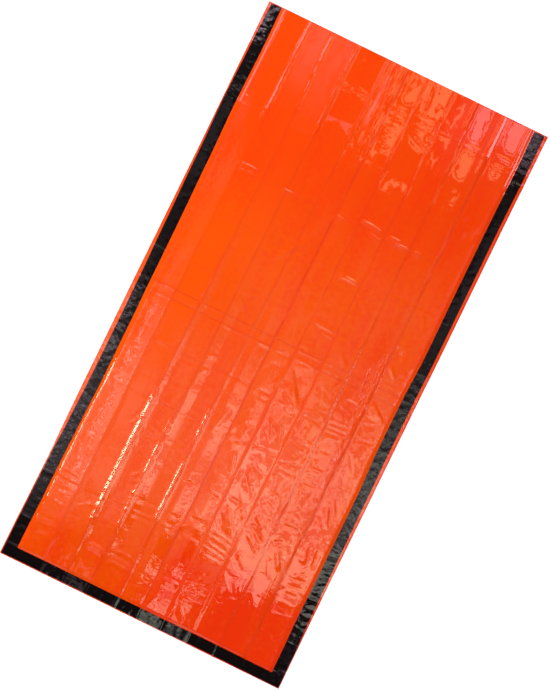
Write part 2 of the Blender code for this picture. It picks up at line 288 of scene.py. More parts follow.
# Sharper creases of the rest, in millimetres too: start, end, width of the gentle flank, negative
# where that is the left one, rise, and bow to the left
Sharp = namedtuple("Sharp", "x0 y0 x1 y1 wide rise bow", defaults=(0.0,))
SHARP_CREASES = in_metres(Sharp, (
    (72, 184, 124, 160, 8, 0.6, 3),
    # the pair of cross folds and what hangs on them
    (-178, 146, -94, 140, 12, 0.65, 4),
    (-178, 124, -96, 118, 10, 0.55, -4),
    (-182, 104, -128, 60, 18, 0.8),
    (-278, 66, -248, 2, 14, 0.7),
    (80, 128, 172, 121, 9, 0.8),
    (118, 108, 172, 103, 8, 0.5),
    (172, 114, 252, 28, 20, 0.7),
    (362, 172, 398, 148, 10, -0.9),
    (366, 150, 412, 146, 10, -0.6),
    (398, 170, 386, 120, 10, -0.6),
    (366, 118, 404, 66, 14, 1),
    (370, 104, 412, 74, 10, 0.7),
    (322, 90, 334, -40, 12, -1),
    (366, -18, 438, -78, 24, 1.1),
    (372, -30, 412, -66, 12, 0.8),
    (-60, -10, -4, -14, 8, 0.8),
    (80, -6, 172, -12, 8, 0.8),
    (10, -18, 70, -14, 8, -0.6),
    # middle of the right half
    (88, -34, 168, -148, -28, -1.5),
    (110, -80, 170, -170, 26, 1.1),
    (84, -112, 168, -172, 12, 0.7),
    (84, -164, 168, -176, 12, 0.7, 8),
    (12, -58, 66, -60, 12, -0.7, 6),
    (62, -64, 64, -140, -10, 0.6),
    (14, -152, 70, -154, 7, -0.75, 4),
    (10, -166, 70, -174, 7, -0.75, -4),
    (174, -150, 262, -146, 10, 0.5, 10),
    (174, -168, 262, -170, 10, -0.6, 6),
    (268, -148, 342, -142, 7, -0.8),
    (268, -164, 350, -160, 7, -0.7),
    (272, -180, 330, -178, 7, -0.6),
    (368, -160, 440, -150, 8, -0.6),
    (280, -60, 350, -66, 20, -0.6, 6),
    (90, -206, 136, -300, -20, 0.9),
    (128, -190, 168, -290, -22, -0.8),
    (200, -236, 262, -246, 10, 0.6, 6),
    (190, -250, 262, -252, 8, -0.5),
    (268, -206, 318, -180, 12, 0.6),
    (280, -240, 330, -238, 10, -0.45),
    (372, -110, 410, -94, 12, -0.8),
    # cross fold at a third of the length
    (80, -318, 172, -306, 10, -0.8, -6),
    (80, -336, 140, -322, 10, 0.8, 8),
    (84, -352, 170, -360, 10, 0.6, -6),
    (174, -330, 262, -318, 8, -0.9),
    (176, -342, 262, -348, 6, 0.6),
    (180, -356, 258, -352, 6, -0.5),
    (270, -312, 334, -306, 12, 0.7, 4),
    (274, -334, 336, -330, 7, -0.7),
    (274, -352, 330, -354, 7, -0.6, -4),
    (6, -338, 66, -326, 7, -0.8),
    (376, -322, 436, -320, 8, -0.4),
    (36, -352, 64, -452, 12, 0.8),
    (100, -372, 160, -440, 18, 0.9),
    (90, -402, 150, -480, 18, -0.8),
    (104, -376, 170, -402, 12, -0.6),
    (190, -370, 198, -440, 14, 0.8),
    (244, -366, 236, -452, 14, -0.7),
    (186, -440, 252, -470, 14, 1.1, 20),
    (182, -470, 240, -500, 14, -0.9, 12),
    (282, -366, 300, -470, -16, 0.9),
    (326, -360, 318, -450, 12, -0.7),
    (384, -380, 420, -470, 16, 1),
    (396, -350, 438, -430, -14, -0.7),
    # lower right
    (96, -530, 158, -626, 16, 1.2),
    (88, -560, 118, -630, 12, -0.8),
    (80, -508, 140, -510, 8, -0.8),
    (130, -500, 168, -560, 12, 0.7),
    (176, -548, 256, -614, -16, -1.6),
    (186, -520, 236, -560, -14, 1.1),
    (190, -590, 252, -640, -14, 1),
    (212, -640, 200, -700, 12, 0.8),
    (238, -500, 256, -548, 10, 0.8),
    (178, -662, 236, -712, 16, -1.6),
    (176, -724, 240, -722, 8, -1, -14),
    (220, -652, 254, -664, 6, -0.7, 6),
    (276, -512, 350, -506, 10, -0.7),
    (276, -578, 312, -560, 10, -1.1),
    (300, -580, 340, -660, 14, 1.1),
    (280, -620, 318, -700, -14, 0.9),
    (274, -690, 312, -682, 8, -1.1),
    (330, -520, 346, -600, 10, -0.8),
    (374, -512, 430, -504, 8, -0.8),
    (384, -530, 404, -610, 16, 1),
    (420, -520, 432, -610, -12, -0.8),
    (366, -652, 436, -626, 7, -1, 4),
    (374, -672, 440, -650, 7, -0.7, 4),
    (388, -686, 446, -694, 7, -1.1),
    (394, -708, 430, -706, 6, -0.7),
    (362, -716, 386, -694, 6, -0.7),
    # around the edge of the lit part
    (2, -620, 70, -624, 8, -0.7),
    (-4, -642, 66, -648, 14, 0.7),
    (0, -692, 72, -688, 10, 0.8),
    (82, -715, 166, -716, 10, 0.6),
    (176, -730, 232, -800, 20, 0.6),
    (366, -740, 440, -744, 10, 0.5, 4),
    (-82, -668, -30, -724, -14, 0.7),
    (-46, -720, 0, -640, 12, 0.8),
    # foot
    (84, -826, 168, -820, 8, 0.8, 6),
    (84, -842, 170, -838, 8, 0.8, 6),
    (86, -858, 172, -862, 8, 0.7, -4),
    (84, -872, 150, -878, 8, 0.6, 4),
    (-184, -836, -96, -838, 10, 0.8, 12),
    (-186, -848, -100, -850, 7, -0.6, 10),
    (-186, -870, -98, -874, 10, 0.8, 6),
    (-268, -848, -196, -852, 16, 0.9, 8),
    (0, -842, 72, -836, 20, 1.1),
    (268, -866, 298, -884, 6, 1.2),
    (242, -838, 260, -852, 5, 1.1),
    (352, -902, 378, -920, 7, 1.2),
    (376, -936, 402, -948, 6, 1.2),
    (340, -800, 400, -940, 16, 0.9),
    (82, -882, 84, -958, 6, 1.1),
    (90, -884, 148, -952, 18, 1.2),
    # left half
    (-284, -385, -306, -440, 6, 0.8),
    (-274, -404, -236, -500, -6, 0.9),
    (-282, -440, -252, -520, -6, 0.6),
    (-290, -284, -276, -300, -5, 0.7),
    (-184, -128, -146, -120, 12, 0.8, 6),
    (-178, -176, -150, -172, 10, 1.1, 4),
    (-260, -150, -190, -158, 6, -0.4, 4),
    (-120, -146, -40, -150, 6, -0.45, -3),
    (-272, -350, -200, -326, 6, -0.45, 4),
    (-420, -338, -350, -332, 6, -0.35, 3),
    (-232, -590, -192, -556, 10, 1.1, 4),
    (-228, -604, -196, -588, 8, 0.8),
    (-208, -640, -192, -622, 6, 0.9),
    (-210, -660, -194, -642, 6, 0.9),
    (-250, -486, -190, -500, 8, -0.8, 6),
    (-74, -530, -36, -516, 7, -0.8),
    (-60, -690, -30, -690, 5, -1),
))

# Bands of near-parallel fine wrinkles, each across one panel: its box, count, slant and rise
Band = namedtuple("Band", "left right foot head count slant rise")
BANDS = in_rows(Band, (
    (-0.452, -0.372, -0.684, -0.64, 5, -0.1, 0.00045),
    (-0.188, -0.094, -0.716, -0.64, 6, 0.06, 0.00045),
    (-0.262, -0.196, -0.716, -0.676, 3, 0.04, 0.0004),
    (-0.074, -0.034, -0.69, -0.64, 4, 0.02, 0.00055),
    (0.082, 0.17, -0.704, -0.632, 7, -0.14, 0.00062),
    (0.366, 0.438, -0.706, -0.632, 5, 0.16, 0.0005),
    (0.082, 0.168, -0.884, -0.816, 4, -0.05, 0.00045),
    (-0.448, -0.374, -0.9, -0.82, 4, 0.16, 0.0003),
    (-0.446, -0.372, -0.344, -0.326, 2, 0.05, 0.0003),
    (-0.262, -0.194, -0.35, -0.322, 3, 0.02, 0.00035),
    (-0.184, -0.094, -0.348, -0.326, 3, 0.05, 0.00035),
    (0.176, 0.262, -0.176, -0.14, 3, 0.03, 0.0004),
    (-0.184, -0.1, 0.3, 0.316, 2, 0.04, 0.00025),
    (0.176, 0.262, 0.28, 0.31, 2, -0.06, 0.00025),
    (0.268, 0.35, 0.29, 0.312, 2, 0.04, 0.00025),
    (-0.364, -0.29, 0.12, 0.14, 2, 0.05, 0.00025),
    (-0.366, -0.338, 0.622, 0.66, 3, 0.1, 0.0008),
    (-0.2, -0.17, 0.618, 0.65, 3, 0.4, 0.0009),
    (0.004, 0.07, 0.842, 0.884, 3, 0.02, 0.00022),
    (0.078, 0.168, 0.836, 0.88, 4, -0.05, 0.00022),
    (0.084, 0.162, 0.762, 0.83, 3, -0.38, 0.00018),
    (-0.172, -0.096, 0.836, 0.868, 2, 0.06, 0.00022),
    (0.264, 0.35, 0.842, 0.876, 3, 0.03, 0.00022),
    (0.362, 0.444, 0.846, 0.88, 2, -0.04, 0.00022),
    (0.01, 0.064, 0.7, 0.83, 7, 0.1, 0.00012),
))


# ---------------------------------------------------------------------------------------------
# Outline and net


def ease(share):
    """Smooth step from 0 to 1."""
    share = np.clip(share, 0.0, 1.0)
    return share * share * (3.0 - 2.0 * share)


def blend(low, high, share):
    return low + (high - low) * share


def read_table(rows, key, column, place):
    """Values of a table's column at many places, eased between its rows."""
    keys = np.array([getattr(row, key) for row in rows])
    values = np.array([getattr(row, column) for row in rows])
    place = np.clip(place, keys[0], keys[-1])
    index = np.clip(np.searchsorted(keys, place) - 1, 0, len(keys) - 2)
    share = (place - keys[index]) / (keys[index + 1] - keys[index])
    return blend(values[index], values[index + 1], ease(share))


def left_edge(y):
    return -HALF_WIDTH + read_table(SIDES, "along", "left_dent", y)


def right_edge(y):
    return HALF_WIDTH - read_table(SIDES, "along", "right_dent", y)


def left_tape_outer(y):
    return left_edge(y) + read_table(SIDES, "along", "left_margin", y)


def right_tape_outer(y):
    return right_edge(y) - read_table(SIDES, "along", "right_margin", y)


def left_tape_inner(y):
    return left_tape_outer(y) + sizes().tape_width + read_table(SIDES, "along", "left_wide", y)


def right_tape_inner(y):
    return right_tape_outer(y) - sizes().tape_width - read_table(SIDES, "along", "right_wide", y)


def film_left_edge(y):
    return blend(left_edge(y), left_tape_outer(y), LEFT_INSET_SHARE)


def film_right_edge(y):
    return blend(right_edge(y), right_tape_outer(y), RIGHT_INSET_SHARE)


def foot_tape_outer(x):
    return -HALF_LENGTH + read_table(FOOT, "across", "margin", x)


def foot_tape_inner(x):
    return foot_tape_outer(x) + sizes().tape_width + FOOT_WIDE


def mouth_edge(x):
    """The upper film's open edge, drawn back a little between two long folds."""
    nearest = np.min([np.abs(x - fold.mouth) for fold in LONG_FOLDS], axis=0)
    return HALF_LENGTH - MOUTH_INSET - MOUTH_SCALLOP * ease(nearest / HALF_FOLD_PITCH)


def long_fold_x(fold, y):
    end = np.where(y < 0.0, fold.foot, fold.mouth)
    return blend(fold.middle, end, np.clip(np.abs(y) / HALF_LENGTH, 0.0, 1.0))


def cross_fold_y(fold, x):
    return blend(fold.left, fold.right, x / (2.0 * HALF_WIDTH) + 0.5)


def sizes():
    return bpy.context.scene.bag_sizes


def colours():
    return bpy.context.scene.bag_colours


# Points of a net, its columns' and rows' places at the middle of the bag, and the indices of those
# that were given as lines
Net = namedtuple("Net", "x y across along marks_across marks_along")


def spaced(knots, spacing):
    """Places from the first knot to the last, with every knot among them, and the knots' indices."""
    places = [knots[0]]
    marks = [0]
    for low, high in zip(knots, knots[1:]):
        count = max(1, round((high - low) / spacing(0.5 * (low + high))))
        places.extend(low + (high - low) * k / count for k in range(1, count + 1))
        marks.append(len(places) - 1)
    return np.array(places), marks


def at_middle(line):
    """Where a line of the net crosses the middle of the bag."""
    return float(line(np.zeros(1))[0])


def make_net(column_lines, row_lines, spacing_across, spacing_along):
    """Points of a net whose columns and rows pass along the given lines and spread between them."""
    column_knots = np.array([at_middle(line) for line in column_lines])
    row_knots = np.array([at_middle(line) for line in row_lines])
    across, marks_across = spaced(column_knots, spacing_across)
    along, marks_along = spaced(row_knots, spacing_along)
    x = np.repeat(across[None, :], len(along), axis=0)
    y = np.repeat(along[:, None], len(across), axis=1)
    for _ in range(4):
        column_shift = np.array([line(y[:, 0]) for line in column_lines]) - column_knots[:, None]
        row_shift = np.array([line(x[0, :]) for line in row_lines]) - row_knots[:, None]
        for i in range(len(along)):
            x[i, :] = across + np.interp(across, column_knots, column_shift[:, i])
        for j in range(len(across)):
            y[:, j] = along + np.interp(along, row_knots, row_shift[:, j])
    return Net(x, y, across, along, marks_across, marks_along)


def constant(value):
    return lambda place: np.full(np.shape(place), value)


def beside(fold, offset):
    return lambda y: long_fold_x(fold, y) + offset


FOLD_COLUMNS = (-0.012, -0.0075, -0.003, 0.0005, 0.005)     # columns beside each long fold
BESIDE_LEFT_TAPE = 0.006     # a further column inside the left tape
COARSE_LEFT_OF = -0.04       # the net is coarser across the bag to the left of this place
COARSE_ACROSS = 1.25
SMOOTH = (0.14, 0.60)        # the smooth stretch of the upper half, with a coarser net
SMOOTH_ALONG = 2.3
CREASED = ((0.286, 0.318), (0.456, 0.500))      # its creased stretches, with the finest net
CREASED_ALONG = 0.65


def film_net():
    """The net that the upper film and the tapes share, finest where the film is most creased."""
    finest_across, finest_along = sizes().net_across, sizes().net_along
    columns = [film_left_edge, left_tape_outer, left_tape_inner]
    columns += [lambda y: left_tape_inner(y) + BESIDE_LEFT_TAPE]
    columns += [beside(fold, step) for fold in LONG_FOLDS for step in FOLD_COLUMNS]
    columns += [right_tape_inner, right_tape_outer, film_right_edge]
    rows = [constant(-HALF_LENGTH + FOOT_INSET), foot_tape_outer, foot_tape_inner]
    rows += [functools.partial(cross_fold_y, fold) for fold in CROSS_FOLDS]
    rows += [constant(place) for stretch in CREASED for place in stretch]
    rows += [mouth_edge]
    rows.sort(key=at_middle)

    def across(x):
        return finest_across * (COARSE_ACROSS if x < COARSE_LEFT_OF else 1.0)

    def along(y):
        if any(low < y < high for low, high in CREASED):
            return finest_along * CREASED_ALONG
        return finest_along * (SMOOTH_ALONG if SMOOTH[0] < y < SMOOTH[1] else 1.0)

    return make_net(columns, rows, across, along)


# ---------------------------------------------------------------------------------------------
# Ridges, troughs and crumples

WANDER = 0.02                # how far the lines of the net wander from their places, at most
RUN_START, RUN_END = -1.02, 1.04    # a run along the bag that passes both its ends
PANEL_END = 0.455            # where the outer panels end beside the side tapes
PANEL_LINES = [-PANEL_END] + [fold.middle for fold in LONG_FOLDS] + [PANEL_END]


def window(net, x_low, x_high, y_low, y_high):
    """Slices of the net that cover a box."""
    j0, j1 = np.searchsorted(net.across, (x_low - WANDER, x_high + WANDER))
    i0, i1 = np.searchsorted(net.along, (y_low - WANDER, y_high + WANDER))
    return slice(max(i0 - 1, 0), i1 + 1), slice(max(j0 - 1, 0), j1 + 1)


def tapered(on, taper):
    """1 along a ridge, easing to 0 toward both its ends; on runs from 0 to 1."""
    return ease(on / taper) * ease((1.0 - on) / taper)


def flanks(away, left, right, power):
    """Cross-section of a ridge of height 1: away is negative on its left."""
    share = np.where(away < 0.0, 1.0 + away / left, 1.0 - away / right)
    return np.clip(share, 0.0, 1.0) ** power


CREASE_NARROW = 0.0055       # width of the steep flank of a sharp crease
CREASE_WIDER = 1.5           # width of its gentle flank, against the table
CREASE_HIGHER = 1.25         # its rise, against the table
CREASE_STEEPEST = 0.075      # slope of its gentle flank, at most
CREASE_CALM = 0.40           # share of that slope at the right of the foot


def sharpen(sharp):
    """A sharp crease with both its flanks, its gentle one no steeper than allowed."""
    wide = CREASE_WIDER * abs(sharp.wide)
    left, right = (CREASE_NARROW, wide) if sharp.wide > 0.0 else (wide, CREASE_NARROW)
    at_right_foot = sharp.y0 < -0.61 and sharp.x0 > 0.17
    limit = CREASE_STEEPEST * wide * (CREASE_CALM if at_right_foot else 1.0)
    rise = math.copysign(min(CREASE_HIGHER * abs(sharp.rise), limit), sharp.rise)
    return Crease(*sharp[:4], left, right, rise, sharp.bow)


def add_crease(net, height, crease, power=1.4, taper=0.30):
    """Add a ridge or trough that fades out toward both ends and may bow to its left."""
    reach = max(crease.left, crease.right) + abs(crease.bow)
    x_low, x_high = sorted((crease.x0, crease.x1))
    y_low, y_high = sorted((crease.y0, crease.y1))
    part = window(net, x_low - reach, x_high + reach, y_low - reach, y_high + reach)
    x = net.x[part] - crease.x0
    y = net.y[part] - crease.y0
    run_x, run_y = crease.x1 - crease.x0, crease.y1 - crease.y0
    length = math.hypot(run_x, run_y)
    run_x, run_y = run_x / length, run_y / length
    on = np.clip((x * run_x + y * run_y) / length, 0.0, 1.0)
    away = x * run_y - y * run_x + 4.0 * crease.bow * on * (1.0 - on)
    height[part] += crease.rise * tapered(on, taper) * flanks(away, crease.left, crease.right, power)


def add_pleat(net, height, pleat, rng, power=1.1, taper=0.08):
    """Add a ridge or trough that runs along a long packing fold, in beads of uneven height."""
    part = window(net, -HALF_WIDTH, HALF_WIDTH, pleat.start, pleat.end)
    x, y = net.x[part], net.y[part]
    on = (y - pleat.start) / (pleat.end - pleat.start)
    knots = np.arange(pleat.start, pleat.end + 0.02, 0.011)
    beads = 1.0 - pleat.beads * rng.uniform(0.0, 1.0, len(knots))
    sway = rng.normal(0.0, 0.0005, len(knots))
    uneven = np.interp(y, knots, beads)
    line = left_tape_inner(y) if pleat.fold == LEFT_TAPE else long_fold_x(LONG_FOLDS[pleat.fold], y)
    away = x - line - pleat.offset - np.interp(y, knots, sway)
    shape = uneven * flanks(away, pleat.left, pleat.right, power)
    height[part] += pleat.rise * tapered(on, taper) * shape


def add_leans(net, height):
    """Lean the film across each panel by the table, level again at both tapes."""
    places = np.linspace(LEANS[0].across, LEANS[-1].across, 2000)
    for column in ("below", "mouth"):
        knots = [lean.across for lean in LEANS]
        lean = np.interp(places, knots, [getattr(lean, column) for lean in LEANS])
        fall = np.tan(np.radians(lean)) * (places[1] - places[0])
        profile = -np.concatenate([[0.0], np.cumsum(fall[:-1])])
        profile -= np.linspace(0.0, profile[-1], len(profile))
        across = np.interp(net.across, places, profile, left=0.0, right=0.0)
        height += across[None, :] * read_table(REACHES, "along", column, net.y)


def add_fold_lines(net, height, rng):
    """A narrow uneven ridge along every long packing fold, over the whole length."""
    for index, fold in enumerate(LONG_FOLDS):
        knots = np.arange(RUN_START, RUN_END, 0.045)
        rise = 0.00022 + 0.00016 * rng.normal(0.0, 1.0, len(knots))
        sway = rng.normal(0.0, 0.0007, len(knots))
        away = net.x - long_fold_x(fold, net.y) - np.interp(net.y, knots, sway)
        shape = flanks(away, 0.006, 0.005, 1.2)
        height += shape * np.interp(net.y, knots, rise) * (1.0 if index % 2 else -1.0)


def add_cross_folds(net, height, rng):
    """Fine creases across the bag, each panel between two long folds with its own."""
    for fold in CROSS_FOLDS:
        for low, high in zip(PANEL_LINES, PANEL_LINES[1:]):
            rise = (rng.normal(0.0, 0.00022) + 0.00012) * (0.35 if fold.left > 0.6 else 1.0)
            width = rng.uniform(0.005, 0.009)
            shift = rng.normal(0.0, 0.0010)
            y0, y1 = cross_fold_y(fold, low) + shift, cross_fold_y(fold, high) + shift
            crease = Crease(low, y0, high, y1, width, width, rise, rng.normal(0.0, 0.0015))
            add_crease(net, height, crease, taper=0.08)


def add_bands(net, height, rng):
    """Bands of fine wrinkles, near parallel, each across one panel."""
    for band in BANDS:
        width = band.right - band.left
        for k in range(band.count):
            share = (k + 0.5 + rng.normal(0.0, 0.12)) / band.count
            y = blend(band.foot, band.head, share)
            x0 = band.left + width * abs(rng.normal(0.0, 0.06))
            x1 = band.right - width * abs(rng.normal(0.0, 0.06))
            slant = band.slant + rng.normal(0.0, 0.02)
            half = 0.5 * (x1 - x0) * slant
            sign = -1.0 if k % 2 else 1.0
            rise = sign * band.rise * rng.uniform(0.75, 1.25)
            bow = rng.normal(0.0, 0.0025)
            add_crease(net, height, Crease(x0, y - half, x1, y + half, 0.0050, 0.0055, rise, bow))


def crumple_density(x, y):
    """How crumpled the film is, from 0 to 1."""
    right_foot = ease((x + 0.05) / 0.12) * ease((0.10 - y) / 0.30)
    strips = 0.45 * ease((0.0 - y) / 0.4)
    foot = (0.6 if abs(x) > 0.2 else 0.35) * ease((-0.60 - y) / 0.25)
    teeth = ease((-0.60 - y) / 0.06) * ease((y + 0.86) / 0.06) * ease((x - 0.02) / 0.08)
    rest = 0.06 + 0.19 * ease((0.15 - y) / 0.10)
    return np.clip(max(rest, right_foot, strips, foot) * (1.0 - 0.85 * teeth), 0.0, 1.0)


def crumple_steepness(x, y):
    """How steep the flanks of a crumple are."""
    right_foot = ease((x + 0.02) / 0.10) * ease((0.05 - y) / 0.30)
    return 0.028 + 0.010 * right_foot * (1.0 - ease((-0.60 - y) / 0.08))


def add_crumples(net, height, count, seed, shortest, longest):
    """Scatter short creases inside the panels: near level ones, and slanted ones between."""
    rng = np.random.default_rng(seed)
    placed = 0
    while placed < count:
        x = rng.uniform(-0.45, 0.45)
        y = rng.uniform(-0.96, 0.99)
        if rng.uniform() > crumple_density(x, y):
            continue
        if rng.uniform() < 0.5:
            angle = rng.normal(0.0, 0.18)
        else:
            angle = rng.choice((-1.0, 1.0), p=(0.65, 0.35)) * rng.normal(1.12, 0.22)
        length = rng.uniform(shortest, longest)
        half_x, half_y = 0.5 * length * math.cos(angle), 0.5 * length * math.sin(angle)
        panel = int(np.clip(np.searchsorted(PANEL_LINES, x), 1, len(PANEL_LINES) - 1))
        x0, x1 = max(x - half_x, PANEL_LINES[panel - 1]), min(x + half_x, PANEL_LINES[panel])
        y0, y1 = y - half_y * (x - x0) / half_x, y + half_y * (x1 - x) / half_x
        narrow = rng.uniform(0.005, 0.008)
        wide = rng.uniform(1.0, 4.0) * narrow
        left, right = (narrow, wide) if rng.uniform() < 0.5 else (wide, narrow)
        rise = rng.normal(0.0, 1.0) * crumple_steepness(x, y) * narrow
        bow = rng.normal(0.0, 0.04) * length
        add_crease(net, height, Crease(x0, y0, x1, y1, left, right, rise, bow), power=1.2)
        placed += 1


def add_swells(net, height, count, seed, smallest, largest, steep):
    """Scatter low soft swells and hollows, longer along the bag than across it."""
    rng = np.random.default_rng(seed)
    for _ in range(count):
        x = rng.uniform(-0.46, 0.46)
        y = rng.uniform(-0.98, 1.00)
        size = rng.uniform(smallest, largest)
        rise = rng.normal(0.0, steep) * size * (0.10 + 0.90 * crumple_density(x, y))
        turn = rng.normal(0.0, 0.5)
        part = window(net, x - 3.0 * size, x + 3.0 * size, y - 3.0 * size, y + 3.0 * size)
        dx, dy = net.x[part] - x, net.y[part] - y
        along = (dy * math.cos(turn) - dx * math.sin(turn)) / (1.5 * size)
        across = (dx * math.cos(turn) + dy * math.sin(turn)) / size
        height[part] += rise * np.exp(-1.5 * (along ** 2 + across ** 2))


def inside_tapes(net):
    """Distance from the nearest tape, positive toward the middle of the bag."""
    to_sides = np.minimum(net.x - left_tape_inner(net.y), right_tape_inner(net.y) - net.x)
    return np.minimum(to_sides, net.y - foot_tape_inner(net.x))


FOLD_RIPPLE = 0.0006         # rise of the joined edges where a fold meets them
RIPPLE_REACH = 0.006


def seam_ripple(net, seed):
    """Low ripples of the joined edges: at the folds, and fine ones between."""
    ripple = np.zeros_like(net.x)
    at_foot = ease((-0.90 - net.y) / 0.03)
    folds = [(net.y - cross_fold_y(fold, net.x), 1.0) for fold in CROSS_FOLDS]
    folds += [(net.x - long_fold_x(fold, net.y), at_foot) for fold in LONG_FOLDS]
    for away, share in folds:
        ripple = np.maximum(ripple, FOLD_RIPPLE * share * np.exp(-np.abs(away) / RIPPLE_REACH))
    rng = np.random.default_rng(seed)
    foot = net.y < foot_tape_inner(net.x)
    fine = np.zeros_like(net.x)
    for _ in range(24):
        wave = rng.uniform(0.011, 0.045)
        lean = rng.normal(0.0, 0.5)
        phase = rng.uniform(0.0, 2.0 * math.pi)
        run = np.where(foot, net.x + lean * net.y, net.y + lean * net.x)
        fine += 0.000045 * (wave / 0.03) * np.sin(2.0 * math.pi * run / wave + phase)
    rippled = ease((0.20 - net.y) / 0.10) * ease((net.x + 0.30) / 0.60)
    return ripple + fine * np.where(foot, 0.35, 0.4 + 0.6 * rippled)


RELIEF_SEED, CRUMPLE_SEED, SWELL_SEED, SEAM_SEED, LOWER_SEED = 11, 21, 22, 31, 41
CRUMPLES = 700
CRUMPLE_LENGTHS = (0.030, 0.130)
SWELLS = 420
SWELL_SIZES = (0.030, 0.070)
SWELL_STEEP = 0.0040         # rise of a swell against its size, as a spread around 0
RELIEF_WIDTH = 0.006         # over which the relief comes on beside the tapes
STEP_WIDTH = 0.008           # over which the film rises there
LOFT_START = -0.04           # from there on, as seen from the tapes' inner edge, it rises slowly
LOFT_WIDTH = 0.30            # and this is how far that goes on
CLEARANCE = 0.0006           # of the upper film above the plane of the lower one, at least


def film_height(net):
    """Height of the upper film over the whole net."""
    size = sizes()
    relief = np.zeros_like(net.x)
    rng = np.random.default_rng(RELIEF_SEED)
    add_leans(net, relief)
    add_fold_lines(net, relief, rng)
    for pleat in PLEATS:
        add_pleat(net, relief, pleat, rng)
    add_cross_folds(net, relief, rng)
    for crease in CREASES + [sharpen(sharp) for sharp in SHARP_CREASES]:
        add_crease(net, relief, crease)
    add_bands(net, relief, rng)
    add_crumples(net, relief, CRUMPLES, CRUMPLE_SEED, *CRUMPLE_LENGTHS)
    add_swells(net, relief, SWELLS, SWELL_SEED, *SWELL_SIZES, SWELL_STEEP)
    inside = inside_tapes(net)
    rise = size.step * ease(inside / STEP_WIDTH)
    rise += size.loft * ease((inside - LOFT_START) / LOFT_WIDTH)
    free = size.seam_height + rise + relief * ease(inside / RELIEF_WIDTH)
    seam = size.seam_height + seam_ripple(net, SEAM_SEED)
    height = np.where(inside > 0.0, blend(seam, free, ease(inside / STEP_WIDTH)), seam)
    return np.maximum(height, size.back_height + CLEARANCE)


# ---------------------------------------------------------------------------------------------
# Meshes


def add_object(name, data):
    obj = bpy.data.objects.new(name, data)
    bpy.context.scene.collection.objects.link(obj)
    return obj


def add_mesh(name, points, faces, material):
    """An object of one mesh with one material."""
    mesh = bpy.data.meshes.new(name)
    mesh.from_pydata(points, [], faces)
    mesh.materials.append(material)
    return add_object(name, mesh)


def grid_points(x, y, z):
    return np.stack([x, y, z], axis=-1).reshape(-1, 3)


def grid_faces(rows, columns):
    """Faces between the points of a grid, all looking up."""
    index = np.arange(rows * columns).reshape(rows, columns)
    corners = (index[:-1, :-1], index[:-1, 1:], index[1:, 1:], index[1:, :-1])
    return np.stack([corner.ravel() for corner in corners], axis=1)


def open_sheet(name, x, y, z, material):
    """A single layer of film."""
    sheet = add_mesh(name, grid_points(x, y, z).tolist(), grid_faces(*x.shape).tolist(), material)
    sheet.data.shade_smooth()
    return sheet


def closed_sheet(name, x, y, z, thickness, material):
    """A strip with two faces and a rim; z is its lower face."""
    points = np.concatenate([grid_points(x, y, z + thickness), grid_points(x, y, z)])
    upper = grid_faces(*x.shape)
    lower = upper[:, ::-1] + x.size
    index = np.arange(x.size).reshape(x.shape)
    rim = np.concatenate([index[0, :-1], index[:-1, -1], index[-1, :0:-1], index[:0:-1, 0]])
    after = np.roll(rim, -1)
    walls = np.stack([rim, rim + x.size, after + x.size, after], axis=1)
    faces = np.concatenate([upper, lower, walls])
    strip = add_mesh(name, points.tolist(), faces.tolist(), material)
    strip.data.shade_smooth()
    strip.data.set_sharp_from_angle(angle=math.radians(50.0))
    return strip


# ---------------------------------------------------------------------------------------------
# Materials


def set_inputs(node, *sources, **named):
    """Link or set a node's inputs, in order and by name: a socket is linked, a value is set."""
    pairs = list(zip(node.inputs, sources))
    pairs += [(node.inputs[name.replace("_", " ")], source) for name, source in named.items()]
    for slot, source in pairs:
        if isinstance(source, bpy.types.NodeSocket):
            node.id_data.links.new(source, slot)
        else:
            slot.default_value = source


def add_node(tree, kind, *sources, settings=None, **named):
    """A shader node with its settings and inputs."""
    node = tree.nodes.new("ShaderNode" + kind)
    for name, value in (settings or {}).items():
        setattr(node, name, value)
    set_inputs(node, *sources, **named)
    return node


def add_math(tree, operation, *sources, kind="Math", **named):
    """A math node; returns its output socket."""
    node = add_node(tree, kind, *sources, settings={"operation": operation}, **named)
    return node.outputs[0]


def add_vector(tree, operation, *sources, **named):
    return add_math(tree, operation, *sources, kind="VectorMath", **named)


def join(tree, operation, sockets):
    """One value out of several, by a chain of math nodes."""
    return functools.reduce(lambda low, high: add_math(tree, operation, low, high), sockets)


def add_ramp(tree, source, low, high, to_low=0.0, to_high=1.0):
    """A smooth step of a value; returns its output socket."""
    ramp = add_node(
        tree, "MapRange", settings={"interpolation_type": "SMOOTHSTEP"}, Value=source,
        From_Min=low, From_Max=high, To_Min=to_low, To_Max=to_high)
    return ramp.outputs["Result"]


def add_noise(tree, place, scale, **named):
    """A flat noise over a place; returns its output sockets."""
    noise = add_node(
        tree, "TexNoise", settings={"noise_dimensions": "2D"}, Vector=place, Scale=scale, **named)
    return noise.outputs


def add_mix(tree, share, low, high):
    """Blend of two colours, each a socket or four plain numbers; returns its output socket."""
    mix = add_node(tree, "Mix", settings={"data_type": "RGBA"}, Factor=share)
    slots = {slot.name: slot for slot in mix.inputs if slot.type == "RGBA"}
    for name, colour in (("A", low), ("B", high)):
        if isinstance(colour, bpy.types.NodeSocket):
            tree.links.new(colour, slots[name])
        else:
            slots[name].default_value = colour
    return next(slot for slot in mix.outputs if slot.type == "RGBA")


def add_stretched(tree, place, across, along):
    """A place stretched across and along the bag."""
    return add_node(tree, "Mapping", place, Scale=(across, along, 1.0)).outputs["Vector"]


